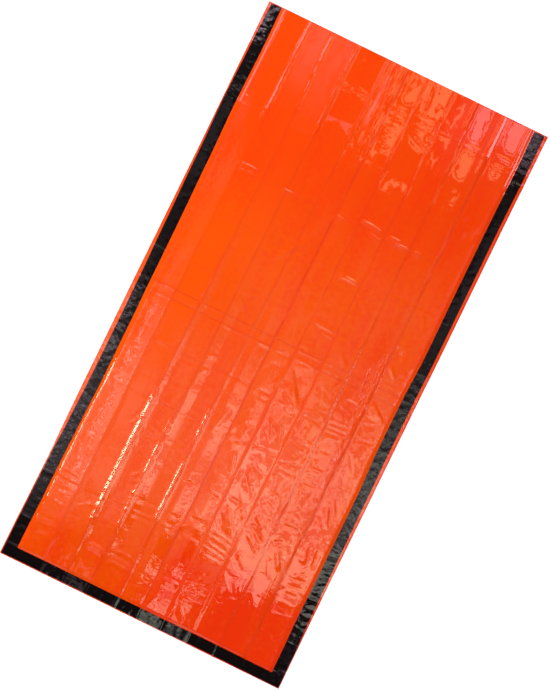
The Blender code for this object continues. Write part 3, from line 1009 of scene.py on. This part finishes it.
def node_group(name, inputs, output, build):
    """The shader node group of a name, built when it is first asked for; inputs gives defaults."""
    if name in bpy.data.node_groups:
        return bpy.data.node_groups[name]
    group = bpy.data.node_groups.new(name, "ShaderNodeTree")
    for socket, default in inputs.items():
        made = group.interface.new_socket(
            name=socket, in_out="INPUT", socket_type="NodeSocketFloat")
        made.default_value = default
    group.interface.new_socket(name=output, in_out="OUTPUT", socket_type="NodeSocketFloat")
    result = build(group, group.nodes.new("NodeGroupInput").outputs)
    set_inputs(group.nodes.new("NodeGroupOutput"), result)
    return group


CRINKLE_INPUTS = {"Across": 40.0, "Along": 40.0, "Warp": 0.1}


def build_crinkle(group, given):
    """Fine crinkles: cells and ridges stretched by Across and Along, as a height around 0."""
    place = add_node(group, "TexCoord").outputs["Object"]
    stretch = add_node(group, "CombineXYZ", given["Across"], given["Along"]).outputs["Vector"]
    scaled = add_vector(group, "MULTIPLY", place, stretch)
    drift = add_noise(group, scaled, 0.6, Detail=2.0)["Color"]
    bend = add_vector(group, "SCALE", drift, Scale=given["Warp"])
    warped = add_vector(group, "ADD", scaled, bend)
    cells = add_node(
        group, "TexVoronoi", settings={"voronoi_dimensions": "2D", "feature": "F1"},
        Vector=warped, Scale=1.0)
    waves = add_noise(group, warped, 1.2, Detail=1.0, Roughness=0.5)["Fac"]
    return add_math(group, "MULTIPLY_ADD", cells.outputs["Distance"], 0.5, waves)


def add_crinkle(tree, across, along):
    """Crinkles of a film or tape; returns their height."""
    group = node_group("Film crinkle", CRINKLE_INPUTS, "Height", build_crinkle)
    crinkle = add_node(
        tree, "Group", settings={"node_tree": group}, Across=across, Along=along, Warp=0.8)
    return crinkle.outputs["Height"]


def add_bump(tree, height, depth):
    bump = add_node(tree, "Bump", Strength=1.0, Distance=depth, Height=height)
    return bump.outputs["Normal"]


FOLD_LINE_INPUTS = dict.fromkeys(
    ("Place", "Run", "Foot", "Middle", "Mouth", "Half length", "Width", "Strength"), 0.0)


def build_fold_line(group, given):
    """Painted shade of a pressed fold: 1 on a line that runs through Middle, bends to Foot and Mouth,
    and wavers.
    """
    share = add_math(group, "DIVIDE", given["Run"], given["Half length"])
    to_mouth = add_math(group, "MAXIMUM", share, 0.0)
    to_foot = add_math(group, "MAXIMUM", add_math(group, "MULTIPLY", share, -1.0), 0.0)
    rise = add_math(group, "SUBTRACT", given["Mouth"], given["Middle"])
    fall = add_math(group, "SUBTRACT", given["Foot"], given["Middle"])
    line = add_math(group, "MULTIPLY_ADD", to_mouth, rise, given["Middle"])
    line = add_math(group, "MULTIPLY_ADD", to_foot, fall, line)
    apart = add_math(group, "MULTIPLY", given["Middle"], 90.0)
    along = add_math(group, "MULTIPLY", given["Run"], 14.0)
    place = add_node(group, "CombineXYZ", apart, along).outputs["Vector"]
    waver = add_noise(group, place, 1.0, Detail=3.0, Roughness=0.6)["Fac"]
    sway = add_math(group, "MULTIPLY_ADD", waver, 0.006, -0.003)
    away = add_math(group, "ADD", add_math(group, "SUBTRACT", given["Place"], line), sway)
    away = add_math(group, "ABSOLUTE", away)
    near = add_math(group, "SUBTRACT", 1.0, add_math(group, "DIVIDE", away, given["Width"]))
    near.node.use_clamp = True
    broken = add_ramp(group, waver, 0.30, 0.62, 0.45, 1.0)
    strength = add_math(group, "MULTIPLY", given["Strength"], broken)
    return add_math(group, "MULTIPLY", near, strength)


# The painted shade along the fold lines: its width along and across the bag, and its strength across
# against along
LONG_LINE_WIDTH = 0.0062
CROSS_LINE_WIDTH = 0.0042
CROSS_LINE_SHARE = 0.8       # strength of the lines across the bag, against those along it


def add_fold_line(tree, **named):
    group = node_group("Fold line", FOLD_LINE_INPUTS, "Mask", build_fold_line)
    return add_node(tree, "Group", settings={"node_tree": group}, **named).outputs["Mask"]


def painted_fold_shade(tree, x, y):
    """The painted shade along the lines of all the packing folds; returns its joint mask."""
    masks = [
        add_fold_line(
            tree, Place=x, Run=y, Foot=fold.foot, Middle=fold.middle, Mouth=fold.mouth,
            Half_length=HALF_LENGTH, Width=LONG_LINE_WIDTH, Strength=fold.shade)
        for fold in LONG_FOLDS]
    masks += [
        add_fold_line(
            tree, Place=y, Run=x, Foot=fold.left, Middle=0.5 * (fold.left + fold.right),
            Mouth=fold.right, Half_length=HALF_WIDTH, Width=CROSS_LINE_WIDTH,
            Strength=CROSS_LINE_SHARE * fold.shade)
        for fold in CROSS_FOLDS]
    return join(tree, "MAXIMUM", masks)


def start_material(name):
    """A material with its node tree and its shader."""
    material = bpy.data.materials.new(name)
    material.use_nodes = True
    tree = material.node_tree
    return material, tree, tree.nodes["Principled BSDF"]


def film_mottle(tree, place):
    """Uneven tone of the film: soft streaks along the bag, and a fine grain."""
    streaks = add_noise(tree, add_stretched(tree, place, 11.0, 1.6), 1.0, Detail=4.0, Roughness=0.6)
    grain = add_noise(tree, place, 65.0, Detail=2.0)
    soft = add_ramp(tree, streaks["Fac"], 0.3, 0.7, -0.26, 0.26)
    fine = add_ramp(tree, grain["Fac"], 0.25, 0.75, -0.18, 0.18)
    return add_math(tree, "ADD", soft, fine)


def painted_shade_mask(tree, x, y):
    """How much painted shade deepens the film's tone: more to the right, at the foot and at the
    mouth's right.
    """
    foot = join(tree, "MULTIPLY", (
        add_ramp(tree, x, -0.10, 0.05), add_ramp(tree, y, -0.60, -0.80)))
    mouth = join(tree, "MULTIPLY", (
        add_ramp(tree, x, -0.05, 0.30), add_ramp(tree, y, 0.55, 0.90), 0.55))
    foot_left = add_ramp(tree, y, -0.66, -0.90, 0.0, 0.34)
    right = add_ramp(tree, x, -0.30, 0.50, 0.0, 0.36)
    return join(tree, "MAXIMUM", (foot, mouth, add_math(tree, "ADD", right, foot_left)))


def film_material(name, painted_shade_all_over):
    """Glossy crinkled film with painted shade at its folds, foot and right, and all over as the
    second argument asks.
    """
    material, tree, shader = start_material(name)
    set_inputs(
        shader, Roughness=0.012, IOR=1.5, Metallic=0.0, Specular_Tint=(1.0, 1.0, 0.90, 1.0))
    place = add_node(tree, "TexCoord").outputs["Object"]
    split = add_node(tree, "SeparateXYZ", place).outputs
    x, y = split["X"], split["Y"]
    # How far the painted shade is mixed in, with the film's random mottle on top
    deep = join(tree, "ADD", (painted_shade_mask(tree, x, y), painted_shade_all_over, film_mottle(tree, place)))
    deep.node.use_clamp = True
    shade = colours()
    tint = add_mix(tree, add_ramp(tree, y, 0.20, 0.60), shade.film, shade.film_head)
    tint = add_mix(tree, deep, tint, shade.film_shaded)
    # painted shade along the fold lines
    tint = add_mix(tree, painted_fold_shade(tree, x, y), tint, shade.fold_shade)
    calm = add_ramp(tree, y, 0.35, 0.70, 1.0, 0.15)
    height = add_math(tree, "MULTIPLY", add_crinkle(tree, 55.0, 85.0), calm)
    set_inputs(shader, Base_Color=tint, Normal=add_bump(tree, height, 0.00006))
    return material


def tape_material():
    name = "Black seam tape"
    if name in bpy.data.materials:
        return bpy.data.materials[name]
    material, tree, shader = start_material(name)
    set_inputs(
        shader, Roughness=0.03, IOR=1.5, Metallic=0.0, Specular_IOR_Level=0.35,
        Base_Color=colours().tape, Normal=add_bump(tree, add_crinkle(tree, 30.0, 75.0), 0.00012))
    return material


# ---------------------------------------------------------------------------------------------
# Pieces

LOWER_SPACING = (0.011, 0.012)      # of the lower film's net, across and along
LOWER_BORDER = 0.055         # width of the lower film's flat border


class BAG_OT_back_film(bpy.types.Operator):
    """Add the lower film, which lies on the floor"""

    bl_idname = "object.bag_back_film"
    bl_label = "Lower film"

    def execute(self, context):
        columns = [left_edge] + [beside(fold, 0.0) for fold in LONG_FOLDS] + [right_edge]
        rows = [constant(-HALF_LENGTH)]
        rows += [functools.partial(cross_fold_y, fold) for fold in CROSS_FOLDS]
        rows += [constant(HALF_LENGTH)]
        net = make_net(columns, rows, *[lambda place, step=step: step for step in LOWER_SPACING])
        height = np.zeros_like(net.x)
        rng = np.random.default_rng(LOWER_SEED)
        for index in range(len(LONG_FOLDS)):
            pleat = Pleat(index, RUN_START, RUN_END, offset=0.0, left=0.020, right=0.020,
                          rise=0.0008, beads=0.4)
            add_pleat(net, height, pleat, rng)
        add_cross_folds(net, height, rng)
        from_edge = np.minimum(net.x - left_edge(net.y), right_edge(net.y) - net.x)
        from_edge = np.minimum(from_edge, net.y + HALF_LENGTH)
        height = np.abs(height) * ease((from_edge - LOWER_BORDER) / 0.03)
        z = sizes().back_height + height
        # The lower film is darkened all over with painted shade
        film = open_sheet("back_film", net.x, net.y, z, film_material("Orange film, lower", 0.35))
        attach(film, "root")
        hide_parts("back_panel")
        return {"FINISHED"}


class BAG_OT_front_film(bpy.types.Operator):
    """Add the upper film, creased along its packing folds"""

    bl_idname = "object.bag_front_film"
    bl_label = "Upper film"

    def execute(self, context):
        net = film_net()
        z = film_height(net)
        film = open_sheet("front_film", net.x, net.y, z, film_material("Orange film, upper", 0.0))
        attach(film, "root")
        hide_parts("front_panel")
        return {"FINISHED"}


TAPE_GAP = 0.0002            # between a tape and what it lies on
SIDE_TAPE_LENGTH = 2.0 * HALF_LENGTH - 0.005
FOOT_TAPE_LENGTH = 0.99


class BAG_OT_seam_tapes(bpy.types.Operator):
    """Add the black tape along both sides and across the foot"""

    bl_idname = "object.bag_seam_tapes"
    bl_label = "Seam tapes"

    def execute(self, context):
        net = film_net()
        width, thickness = sizes().tape_width, sizes().tape_thickness
        across, along = net.marks_across, net.marks_along
        lie = film_height(net) + TAPE_GAP
        over = np.zeros_like(lie)
        over[along[1]:along[2] + 2] = thickness + TAPE_GAP      # where they pass the foot tape
        up = slice(along[1], None)
        left = (up, slice(across[1], across[2] + 1))
        right = (up, slice(across[-3], across[-2] + 1))
        foot = (slice(along[1], along[2] + 1), slice(across[1], across[-2] + 1))
        for name, node, part, z, flat in (
            ("left_tape", "left_seam_tape", left, lie + over, (width, SIDE_TAPE_LENGTH)),
            ("right_tape", "right_seam_tape", right, lie + over, (width, SIDE_TAPE_LENGTH)),
            ("foot_tape", "foot_seam_tape", foot, lie, (FOOT_TAPE_LENGTH, width)),
        ):
            strip = closed_sheet(
                name, net.x[part], net.y[part], z[part], thickness, tape_material())
            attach(strip, "root")
            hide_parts(node)
        return {"FINISHED"}


# ---------------------------------------------------------------------------------------------
# Stage

# Cards of light over the bag: the part of the bag whose flat film mirrors each to the camera, how
# softly each side of the card fades, its glow, its pattern, its tint, how ragged its edges are, and
# corners along its foot edge where that isn't straight
Card = namedtuple(
    "Card", "name left right foot head fade_left fade_right fade_foot fade_head glow pattern tint "
    "ragged corners", defaults=(0.0, ()))
# Pattern of a card: its glow off and on the patches, where the patches begin and over how much they
# come on, patches per metre across and along, and whether lines run round its uneven edges
Pattern = namedtuple("Pattern", "off on begin width across along outlined", defaults=(False,))
EVEN = Pattern(1.0, 1.0, 0.50, 0.10, 10.0, 8.0)
MILD = Pattern(0.60, 1.45, 0.40, 0.20, 9.0, 5.0)
PATCHY = Pattern(0.34, 1.62, 0.40, 0.16, 8.0, 5.2)
OUTLINED = Pattern(0.0, 1.0, 0.0, 1.0, 26.0, 17.0, True)
SPECKS = Pattern(0.0, 1.0, 0.62, 0.04, 55.0, 90.0)
BEADED = Pattern(0.0, 1.0, 0.46, 0.05, 8.0, 15.0)
TORN = Pattern(0.0, 1.0, 0.52, 0.05, 38.0, 24.0)
GLARE = Pattern(0.0, 1.0, 0.50, 0.04, 60.0, 40.0)
STROKES = Pattern(0.0, 1.0, 0.54, 0.06, 14.0, 55.0)
WHITE = (1.15, 0.95, 1.00)
TAN = (1.00, 1.02, 0.50)
ROSE = (1.15, 0.86, 1.00)
LAMP = (1.00, 1.00, 0.80)
WARM = (1.00, 1.05, 0.86)    # also the patches of every patchy card
# Corners of the right card's toothed foot edge, and of the wedge at the mouth
TEETH = (
    (-0.080, -0.665), (0.000, -0.646), (0.074, -0.646), (0.084, -0.725), (0.172, -0.730),
    (0.196, -0.796), (0.256, -0.824), (0.272, -0.748), (0.300, -0.758), (0.360, -0.806),
    (0.384, -0.764), (0.420, -0.760), (0.470, -0.784), (0.484, -0.776), (0.496, -0.690),
    (0.504, -0.655), (0.512, -0.655), (0.524, -0.720), (0.900, -0.720),
)
WEDGE = ((-0.138, 0.743), (-0.085, 0.708))
CARDS = in_rows(Card, (
    ("right_card", -0.035, 0.58, -0.84, -0.14, 0.09, 0.46, 0, 0.6, 2.4, PATCHY, WHITE, 0.004, TEETH),
    ("tail_card", -0.175, 0.65, 0, 0.36, 0.65, 0.1, 0.2, 0.6, 0.28, MILD, WHITE),
    ("right_glow", -0.02, 0.22, -0.66, -0.24, 0.08, 0.1, 0.12, 0.14, 0.55, MILD, WHITE),
    ("teeth_haze", 0.07, 0.26, -0.83, -0.7, 0.02, 0.03, 0.08, 0.04, 0.6, MILD, WHITE),
    ("left_card", -0.62, -0.035, -0.78, -0.175, 0.02, 0.09, 0.34, 0.65, 0.78, MILD, WHITE),
    ("left_halo", -0.62, -0.52, -0.75, -0.06, 0, 0.08, 0.3, 0.6, 0.95, MILD, WHITE),
    ("left_lamp", -0.94, -0.635, -0.78, -0.285, 0.04, 0.01, 0.04, 0.03, 27, BEADED, LAMP),
    ("mouth_lamp", -1, -0.59, 0.675, 1.3, 0.2, 0.01, 0.03, 0.03, 4.2, EVEN, ROSE),
    ("head_lamp", -0.45, 0.36, 1.05, 1.9, 0.05, 0.05, 0.05, 0.1, 2.6, EVEN, WARM),
    ("mouth_lamp_right", 0.665, 1.2, 0.8, 1.3, 0.01, 0.3, 0.03, 0.03, 7, EVEN, ROSE),
    ("mouth_haze", 0.2, 0.47, 0.84, 1.4, 0.06, 0.02, 0.34, 0.02, 0.35, MILD, ROSE),
    ("mouth_strip_a", -0.397, -0.32, 0.88, 1.4, 0.006, 0.08, 0.4, 0.02, 1.15, MILD, ROSE),
    ("mouth_strip_b", -0.3, -0.196, 0.84, 1.4, 0.006, 0.08, 0.4, 0.02, 0.85, MILD, ROSE),
    ("mouth_bit", -0.2, -0.14, 0.87, 1.03, 0.03, 0.03, 0.04, 0.04, 3.2, OUTLINED, TAN),
    ("mouth_streak", -0.19, -0.1, 0.838, 0.868, 0.01, 0.04, 0.01, 0.01, 2.2, TORN, TAN, 0.004),
    ("mouth_wedge", -0.16, -0.09, 0.7, 0.744, 0.05, 0.01, 0, 0, 1.3, EVEN, ROSE, 0.006, WEDGE),
    ("mouth_rib", -0.076, -0.058, 0.78, 1.4, 0.004, 0.004, 0.1, 0.02, 1.8, MILD, ROSE, 0.003),
    ("mouth_wiggle", -0.054, 0.008, 0.65, 1.2, 0.02, 0.02, 0.04, 0.02, 2.2, TORN, TAN, 0.006),
    ("mouth_tan_a", -0.006, 0.078, 0.874, 1.4, 0.045, 0.045, 0.045, 0.02, 2.2, OUTLINED, TAN),
    ("mouth_tan_b", 0.074, 0.178, 0.87, 1.4, 0.045, 0.04, 0.045, 0.02, 2.6, OUTLINED, TAN),
    ("mouth_tongue", 0.086, 0.176, 0.756, 0.876, 0.05, 0.04, 0.05, 0.04, 2.4, OUTLINED, TAN),
    ("mouth_band", 0, 0.078, 0.69, 0.85, 0.04, 0.04, 0.05, 0.04, 2.4, OUTLINED, TAN),
    ("mouth_spot_a", 0.08, 0.165, 0.604, 0.652, 0.02, 0.02, 0.015, 0.015, 2.3, TORN, TAN, 0.006),
    ("mouth_spot_b", 0.19, 0.235, 0.745, 1.05, 0.015, 0.015, 0.03, 0.03, 2, TORN, TAN, 0.006),
    ("mouth_rose_a", 0.28, 0.366, 0.86, 1.4, 0.045, 0.045, 0.045, 0.02, 3, OUTLINED, ROSE),
    ("mouth_tan_c", 0.282, 0.382, 0.73, 0.862, 0.045, 0.045, 0.05, 0.04, 2.3, OUTLINED, TAN),
    ("mouth_rose_b", 0.4, 0.474, 0.876, 1.4, 0.045, 0.03, 0.045, 0.02, 2.8, OUTLINED, ROSE),
    ("mouth_tan_d", 0.402, 0.466, 0.774, 0.884, 0.04, 0.04, 0.05, 0.045, 2.3, OUTLINED, TAN),
    ("mouth_spot_c", 0.328, 0.385, 0.64, 0.71, 0.02, 0.02, 0.02, 0.02, 2, TORN, TAN, 0.006),
    ("foot_card", 0, 0.15, -0.978, -0.88, 0.08, 0.04, 0.01, 0.06, 1.7, PATCHY, ROSE, 0.01),
    ("foot_streak", -0.02, 0.075, -0.888, -0.85, 0.02, 0.02, 0.02, 0.02, 2.2, PATCHY, WHITE, 0.006),
    ("foot_side", -0.31, -0.19, -1.2, -0.965, 0.02, 0.02, 0.01, 0.02, 0.6, MILD, ROSE),
    ("foot_tape_patch", -0.02, 0.09, -1.2, -0.964, 0.02, 0.01, 0.01, 0.004, 1.4, PATCHY, ROSE, 0.006),
    ("foot_tape_side", 0.09, 0.16, -1.2, -0.964, 0.01, 0.03, 0.01, 0.004, 0.6, PATCHY, ROSE, 0.006),
    ("left_tape_glare", -0.53, -0.48, 0.865, 1.4, 0.01, 0.012, 0.04, 0.02, 10, GLARE, ROSE),
    ("right_tape_glare", 0.47, 0.508, 0.855, 1.4, 0.006, 0.01, 0.05, 0.02, 4, GLARE, ROSE),
    ("left_tape_line", -0.52, -0.46, 0.669, 0.673, 0.01, 0.01, 0.002, 0.002, 6, EVEN, LAMP, 0.003),
    ("left_tape_line_b", -0.52, -0.468, 0.692, 0.696, 0.01, 0.01, 0.002, 0.002, 4, EVEN, LAMP, 0.003),
    ("right_tape_line", 0.458, 0.52, 0.122, 0.126, 0.01, 0.01, 0.002, 0.002, 4, EVEN, LAMP, 0.003),
    ("left_tape_strokes", -0.56, -0.465, -0.72, -0.06, 0.02, 0.02, 0.1, 0.08, 4.5, STROKES, WHITE),
    ("right_tape_strokes", 0.475, 0.56, -0.68, 0.1, 0.02, 0.02, 0.03, 0.2, 5, STROKES, WHITE),
    ("left_tape_haze", -0.53, -0.462, -0.08, 0.76, 0.01, 0.012, 0.06, 0.4, 0.26, MILD, WHITE),
    ("right_tape_haze", 0.468, 0.53, 0.24, 0.78, 0.006, 0.01, 0.16, 0.06, 0.24, MILD, WHITE),
    ("right_tape_specks", 0.455, 0.52, -1, -0.715, 0.01, 0.01, 0.02, 0.02, 2, SPECKS, ROSE),
))
CARD_HEIGHT = 2.2
CARD_STEP = 0.001            # each card hangs this much above the one before
# Lines of light round the uneven edge of an outlined card: how far in from the edge, and how bright
OUTLINE_STOPS = ((0.22, 0.0), (0.26, 0.85), (0.40, 0.85), (0.44, 0.0), (0.58, 0.0), (0.62, 1.0))
OUTLINE_WANDER = 2.4         # how uneven those lines are
KEY_PLACE = (-2.35, 1.2, 1.6)


def ragged_place(tree, place, reach):
    """A place moved about by up to twice the reach, so that what is drawn over it is ragged."""
    wander = add_noise(tree, place, 24.0, Detail=3.0, Roughness=0.55)["Color"]
    spread, back = (4.0 * reach, 4.0 * reach, 0.0), (-2.0 * reach, -2.0 * reach, 0.0)
    return add_vector(tree, "ADD", place, add_vector(tree, "MULTIPLY_ADD", wander, spread, back))


def card_cover(tree, place, card, spread):
    """1 inside the card, fading to 0 over its sides."""
    split = add_node(tree, "SeparateXYZ", place).outputs
    parts = []
    for axis, side, fade in (
        ("X", card.left, card.fade_left),
        ("X", card.right, -card.fade_right),
        ("Y", card.foot, card.fade_foot),
        ("Y", card.head, -card.fade_head),
    ):
        if fade:
            begin = side - (0.0 if card.pattern.outlined else 0.5 * fade)
            parts.append(add_ramp(tree, split[axis], begin * spread, (begin + fade) * spread))
    return join(tree, "MULTIPLY", parts)


def outlines(tree, cover, noise):
    """Lines of light round an uneven edge, where the cover comes on."""
    wander = add_math(tree, "MULTIPLY_ADD", noise, OUTLINE_WANDER, 1.0 - 0.5 * OUTLINE_WANDER)
    rings = add_node(tree, "ValToRGB", add_math(tree, "MULTIPLY", cover, wander))
    elements = rings.color_ramp.elements
    for position, value in OUTLINE_STOPS:
        elements.new(position).color = (value, value, value, 1.0)
    elements.remove(elements[-1])
    return rings.outputs["Color"]


def glow_material(card, spread):
    """Emission that fades toward the card's sides, with its pattern."""
    pattern = card.pattern
    material, tree, _ = start_material(card.name)
    tree.nodes.clear()
    place = add_node(tree, "TexCoord").outputs["Object"]
    edge_place = ragged_place(tree, place, card.ragged) if card.ragged else place
    cover = card_cover(tree, edge_place, card, spread)
    stretched = add_stretched(tree, place, pattern.across / spread, pattern.along / spread)
    noise = add_noise(tree, stretched, 1.0, Detail=3.0, Roughness=0.55, Distortion=0.4)["Fac"]
    if pattern.outlined:
        patches = outlines(tree, cover, noise)
        strength = add_math(tree, "MULTIPLY", patches, card.glow)
    else:
        patches = add_ramp(tree, noise, pattern.begin, pattern.begin + pattern.width)
        share = add_math(tree, "MULTIPLY_ADD", patches, pattern.on - pattern.off, pattern.off)
        strength = join(tree, "MULTIPLY", (cover, card.glow, share))
    tint = (*card.tint, 1.0)
    if pattern is PATCHY:
        tint = add_mix(tree, patches, tint, (*WARM, 1.0))
    glow = add_node(tree, "Emission", Color=tint, Strength=strength).outputs[0]
    clear = add_node(tree, "BsdfTransparent").outputs[0]
    add_node(tree, "OutputMaterial", add_node(tree, "AddShader", glow, clear).outputs[0])
    return material


def add_card(card, camera_height, index):
    """A card whose mirror image in flat film covers the stated part of the bag."""
    spread = 1.0 + CARD_HEIGHT / camera_height
    height = CARD_HEIGHT + CARD_STEP * index
    left = card.left - 0.5 * card.fade_left - card.ragged
    right = card.right + 0.5 * card.fade_right + card.ragged
    foot = card.foot - 0.5 * card.fade_foot - card.ragged
    head = card.head + 0.5 * card.fade_head + card.ragged
    corners = list(card.corners) or [(left, foot), (right, foot)]
    corners += [(corners[-1][0], head), (corners[0][0], head)]
    points = [(x * spread, y * spread, height) for x, y in reversed(corners)]
    obj = add_mesh(card.name, points, [range(len(points))], glow_material(card, spread))
    obj.visible_camera = False
    obj.visible_diffuse = False
    obj.visible_shadow = False


def add_key(lamp_energy):
    """A large soft lamp far off beyond the head and to the left, low enough to show relief."""
    light = bpy.data.lights.new("key_lamp", "AREA")
    light.shape = "DISK"
    light.size = 1.6
    light.energy = lamp_energy
    light.color = (1.0, 0.98, 0.95)
    obj = add_object("key_lamp", light)
    obj.location = KEY_PLACE
    obj.rotation_euler = (-obj.location).to_track_quat("-Z", "Y").to_euler()
    obj.visible_glossy = False


WALL_DIM = 0.25              # brightness of the wall between backdrop and ring, against the ring


def make_world(glow):
    """A dark ceiling, a ring of light part way up that is brighter toward the head and the left, a
    dim wall below the ring, and a bright backdrop at the floor."""
    world = bpy.data.worlds.new("Studio")
    bpy.context.scene.world = world
    world.use_nodes = True
    tree = world.node_tree
    view = add_node(tree, "SeparateXYZ", add_node(tree, "TexCoord").outputs["Generated"]).outputs
    ceiling = add_ramp(tree, view["Z"], 0.86, 0.70, 0.0, glow)
    backdrop = add_ramp(tree, view["Z"], 0.08, 0.16, 1.0, WALL_DIM)
    ring = add_ramp(tree, view["Z"], 0.34, 0.50, WALL_DIM, 1.0)
    profile = add_math(tree, "MULTIPLY", ceiling, add_math(tree, "MAXIMUM", backdrop, ring))
    to_head = add_math(tree, "MULTIPLY_ADD", view["Y"], 0.45, 1.0)
    lean = add_math(tree, "MULTIPLY_ADD", view["X"], -0.55, to_head)
    strength = add_math(tree, "MULTIPLY", profile, lean)
    set_inputs(tree.nodes["Background"], Color=(1.0, 0.99, 0.98, 1.0), Strength=strength)


def add_floor():
    material, _, shader = start_material("Pale floor")
    set_inputs(shader, Base_Color=(0.93, 0.93, 0.93, 1.0), Roughness=0.9, Specular_IOR_Level=0.0)
    reach = 12.0
    points = [(-reach, -reach, 0), (reach, -reach, 0), (reach, reach, 0), (-reach, reach, 0)]
    add_mesh("floor", points, [range(4)], material)


CAMERA_TURN = math.radians(26.05)
VIEW_HEIGHT = 2.2475         # length of floor that the camera sees
VIEW_CENTRE = (0.0035, 0.0010)


def add_camera(height):
    data = bpy.data.cameras.new("camera")
    data.sensor_fit = "VERTICAL"
    data.sensor_height = 24.0
    data.lens = data.sensor_height * height / VIEW_HEIGHT
    obj = add_object("camera", data)
    obj.location = (*VIEW_CENTRE, height)
    obj.rotation_euler = (0.0, 0.0, CAMERA_TURN)
    bpy.context.scene.camera = obj


class BAG_OT_stage(bpy.types.Operator):
    """Add the floor, the studio lights and the camera"""

    bl_idname = "object.bag_stage"
    bl_label = "Stage"

    def execute(self, context):
        stage = context.scene.bag_stage
        add_floor()
        make_world(stage.ring_glow)
        for index, card in enumerate(CARDS):
            add_card(card, stage.camera_height, index)
        add_key(stage.key_energy)
        add_camera(stage.camera_height)
        context.scene.view_settings.view_transform = "Standard"
        return {"FINISHED"}


class BAG_PT_panel(bpy.types.Panel):
    """Sidebar panel with the bag's sizes, colours and builders"""

    bl_label = "Sleeping bag"
    bl_idname = "BAG_PT_panel"
    bl_space_type = "VIEW_3D"
    bl_region_type = "UI"
    bl_category = "Sleeping bag"

    def draw(self, context):
        layout = self.layout
        for group in (context.scene.bag_sizes, context.scene.bag_colours, context.scene.bag_stage):
            for name in group.__annotations__:
                layout.prop(group, name)
        for operator in OPERATORS:
            layout.operator(operator.bl_idname)


GROUPS = {"bag_sizes": BagSizes, "bag_colours": BagColours, "bag_stage": StageSettings}
OPERATORS = (BAG_OT_back_film, BAG_OT_front_film, BAG_OT_seam_tapes, BAG_OT_stage)


def register():
    for name, group in GROUPS.items():
        bpy.utils.register_class(group)
        setattr(bpy.types.Scene, name, bpy.props.PointerProperty(type=group))
    for cls in OPERATORS + (BAG_PT_panel,):
        bpy.utils.register_class(cls)


def unregister():
    for cls in reversed(OPERATORS + (BAG_PT_panel,)):
        bpy.utils.unregister_class(cls)
    for name, group in GROUPS.items():
        delattr(bpy.types.Scene, name)
        bpy.utils.unregister_class(group)


def main():
    register()
    bpy.ops.object.bag_back_film()
    bpy.ops.object.bag_front_film()
    bpy.ops.object.bag_seam_tapes()
    bpy.ops.object.bag_stage()


if __name__ == "__main__":
    main()
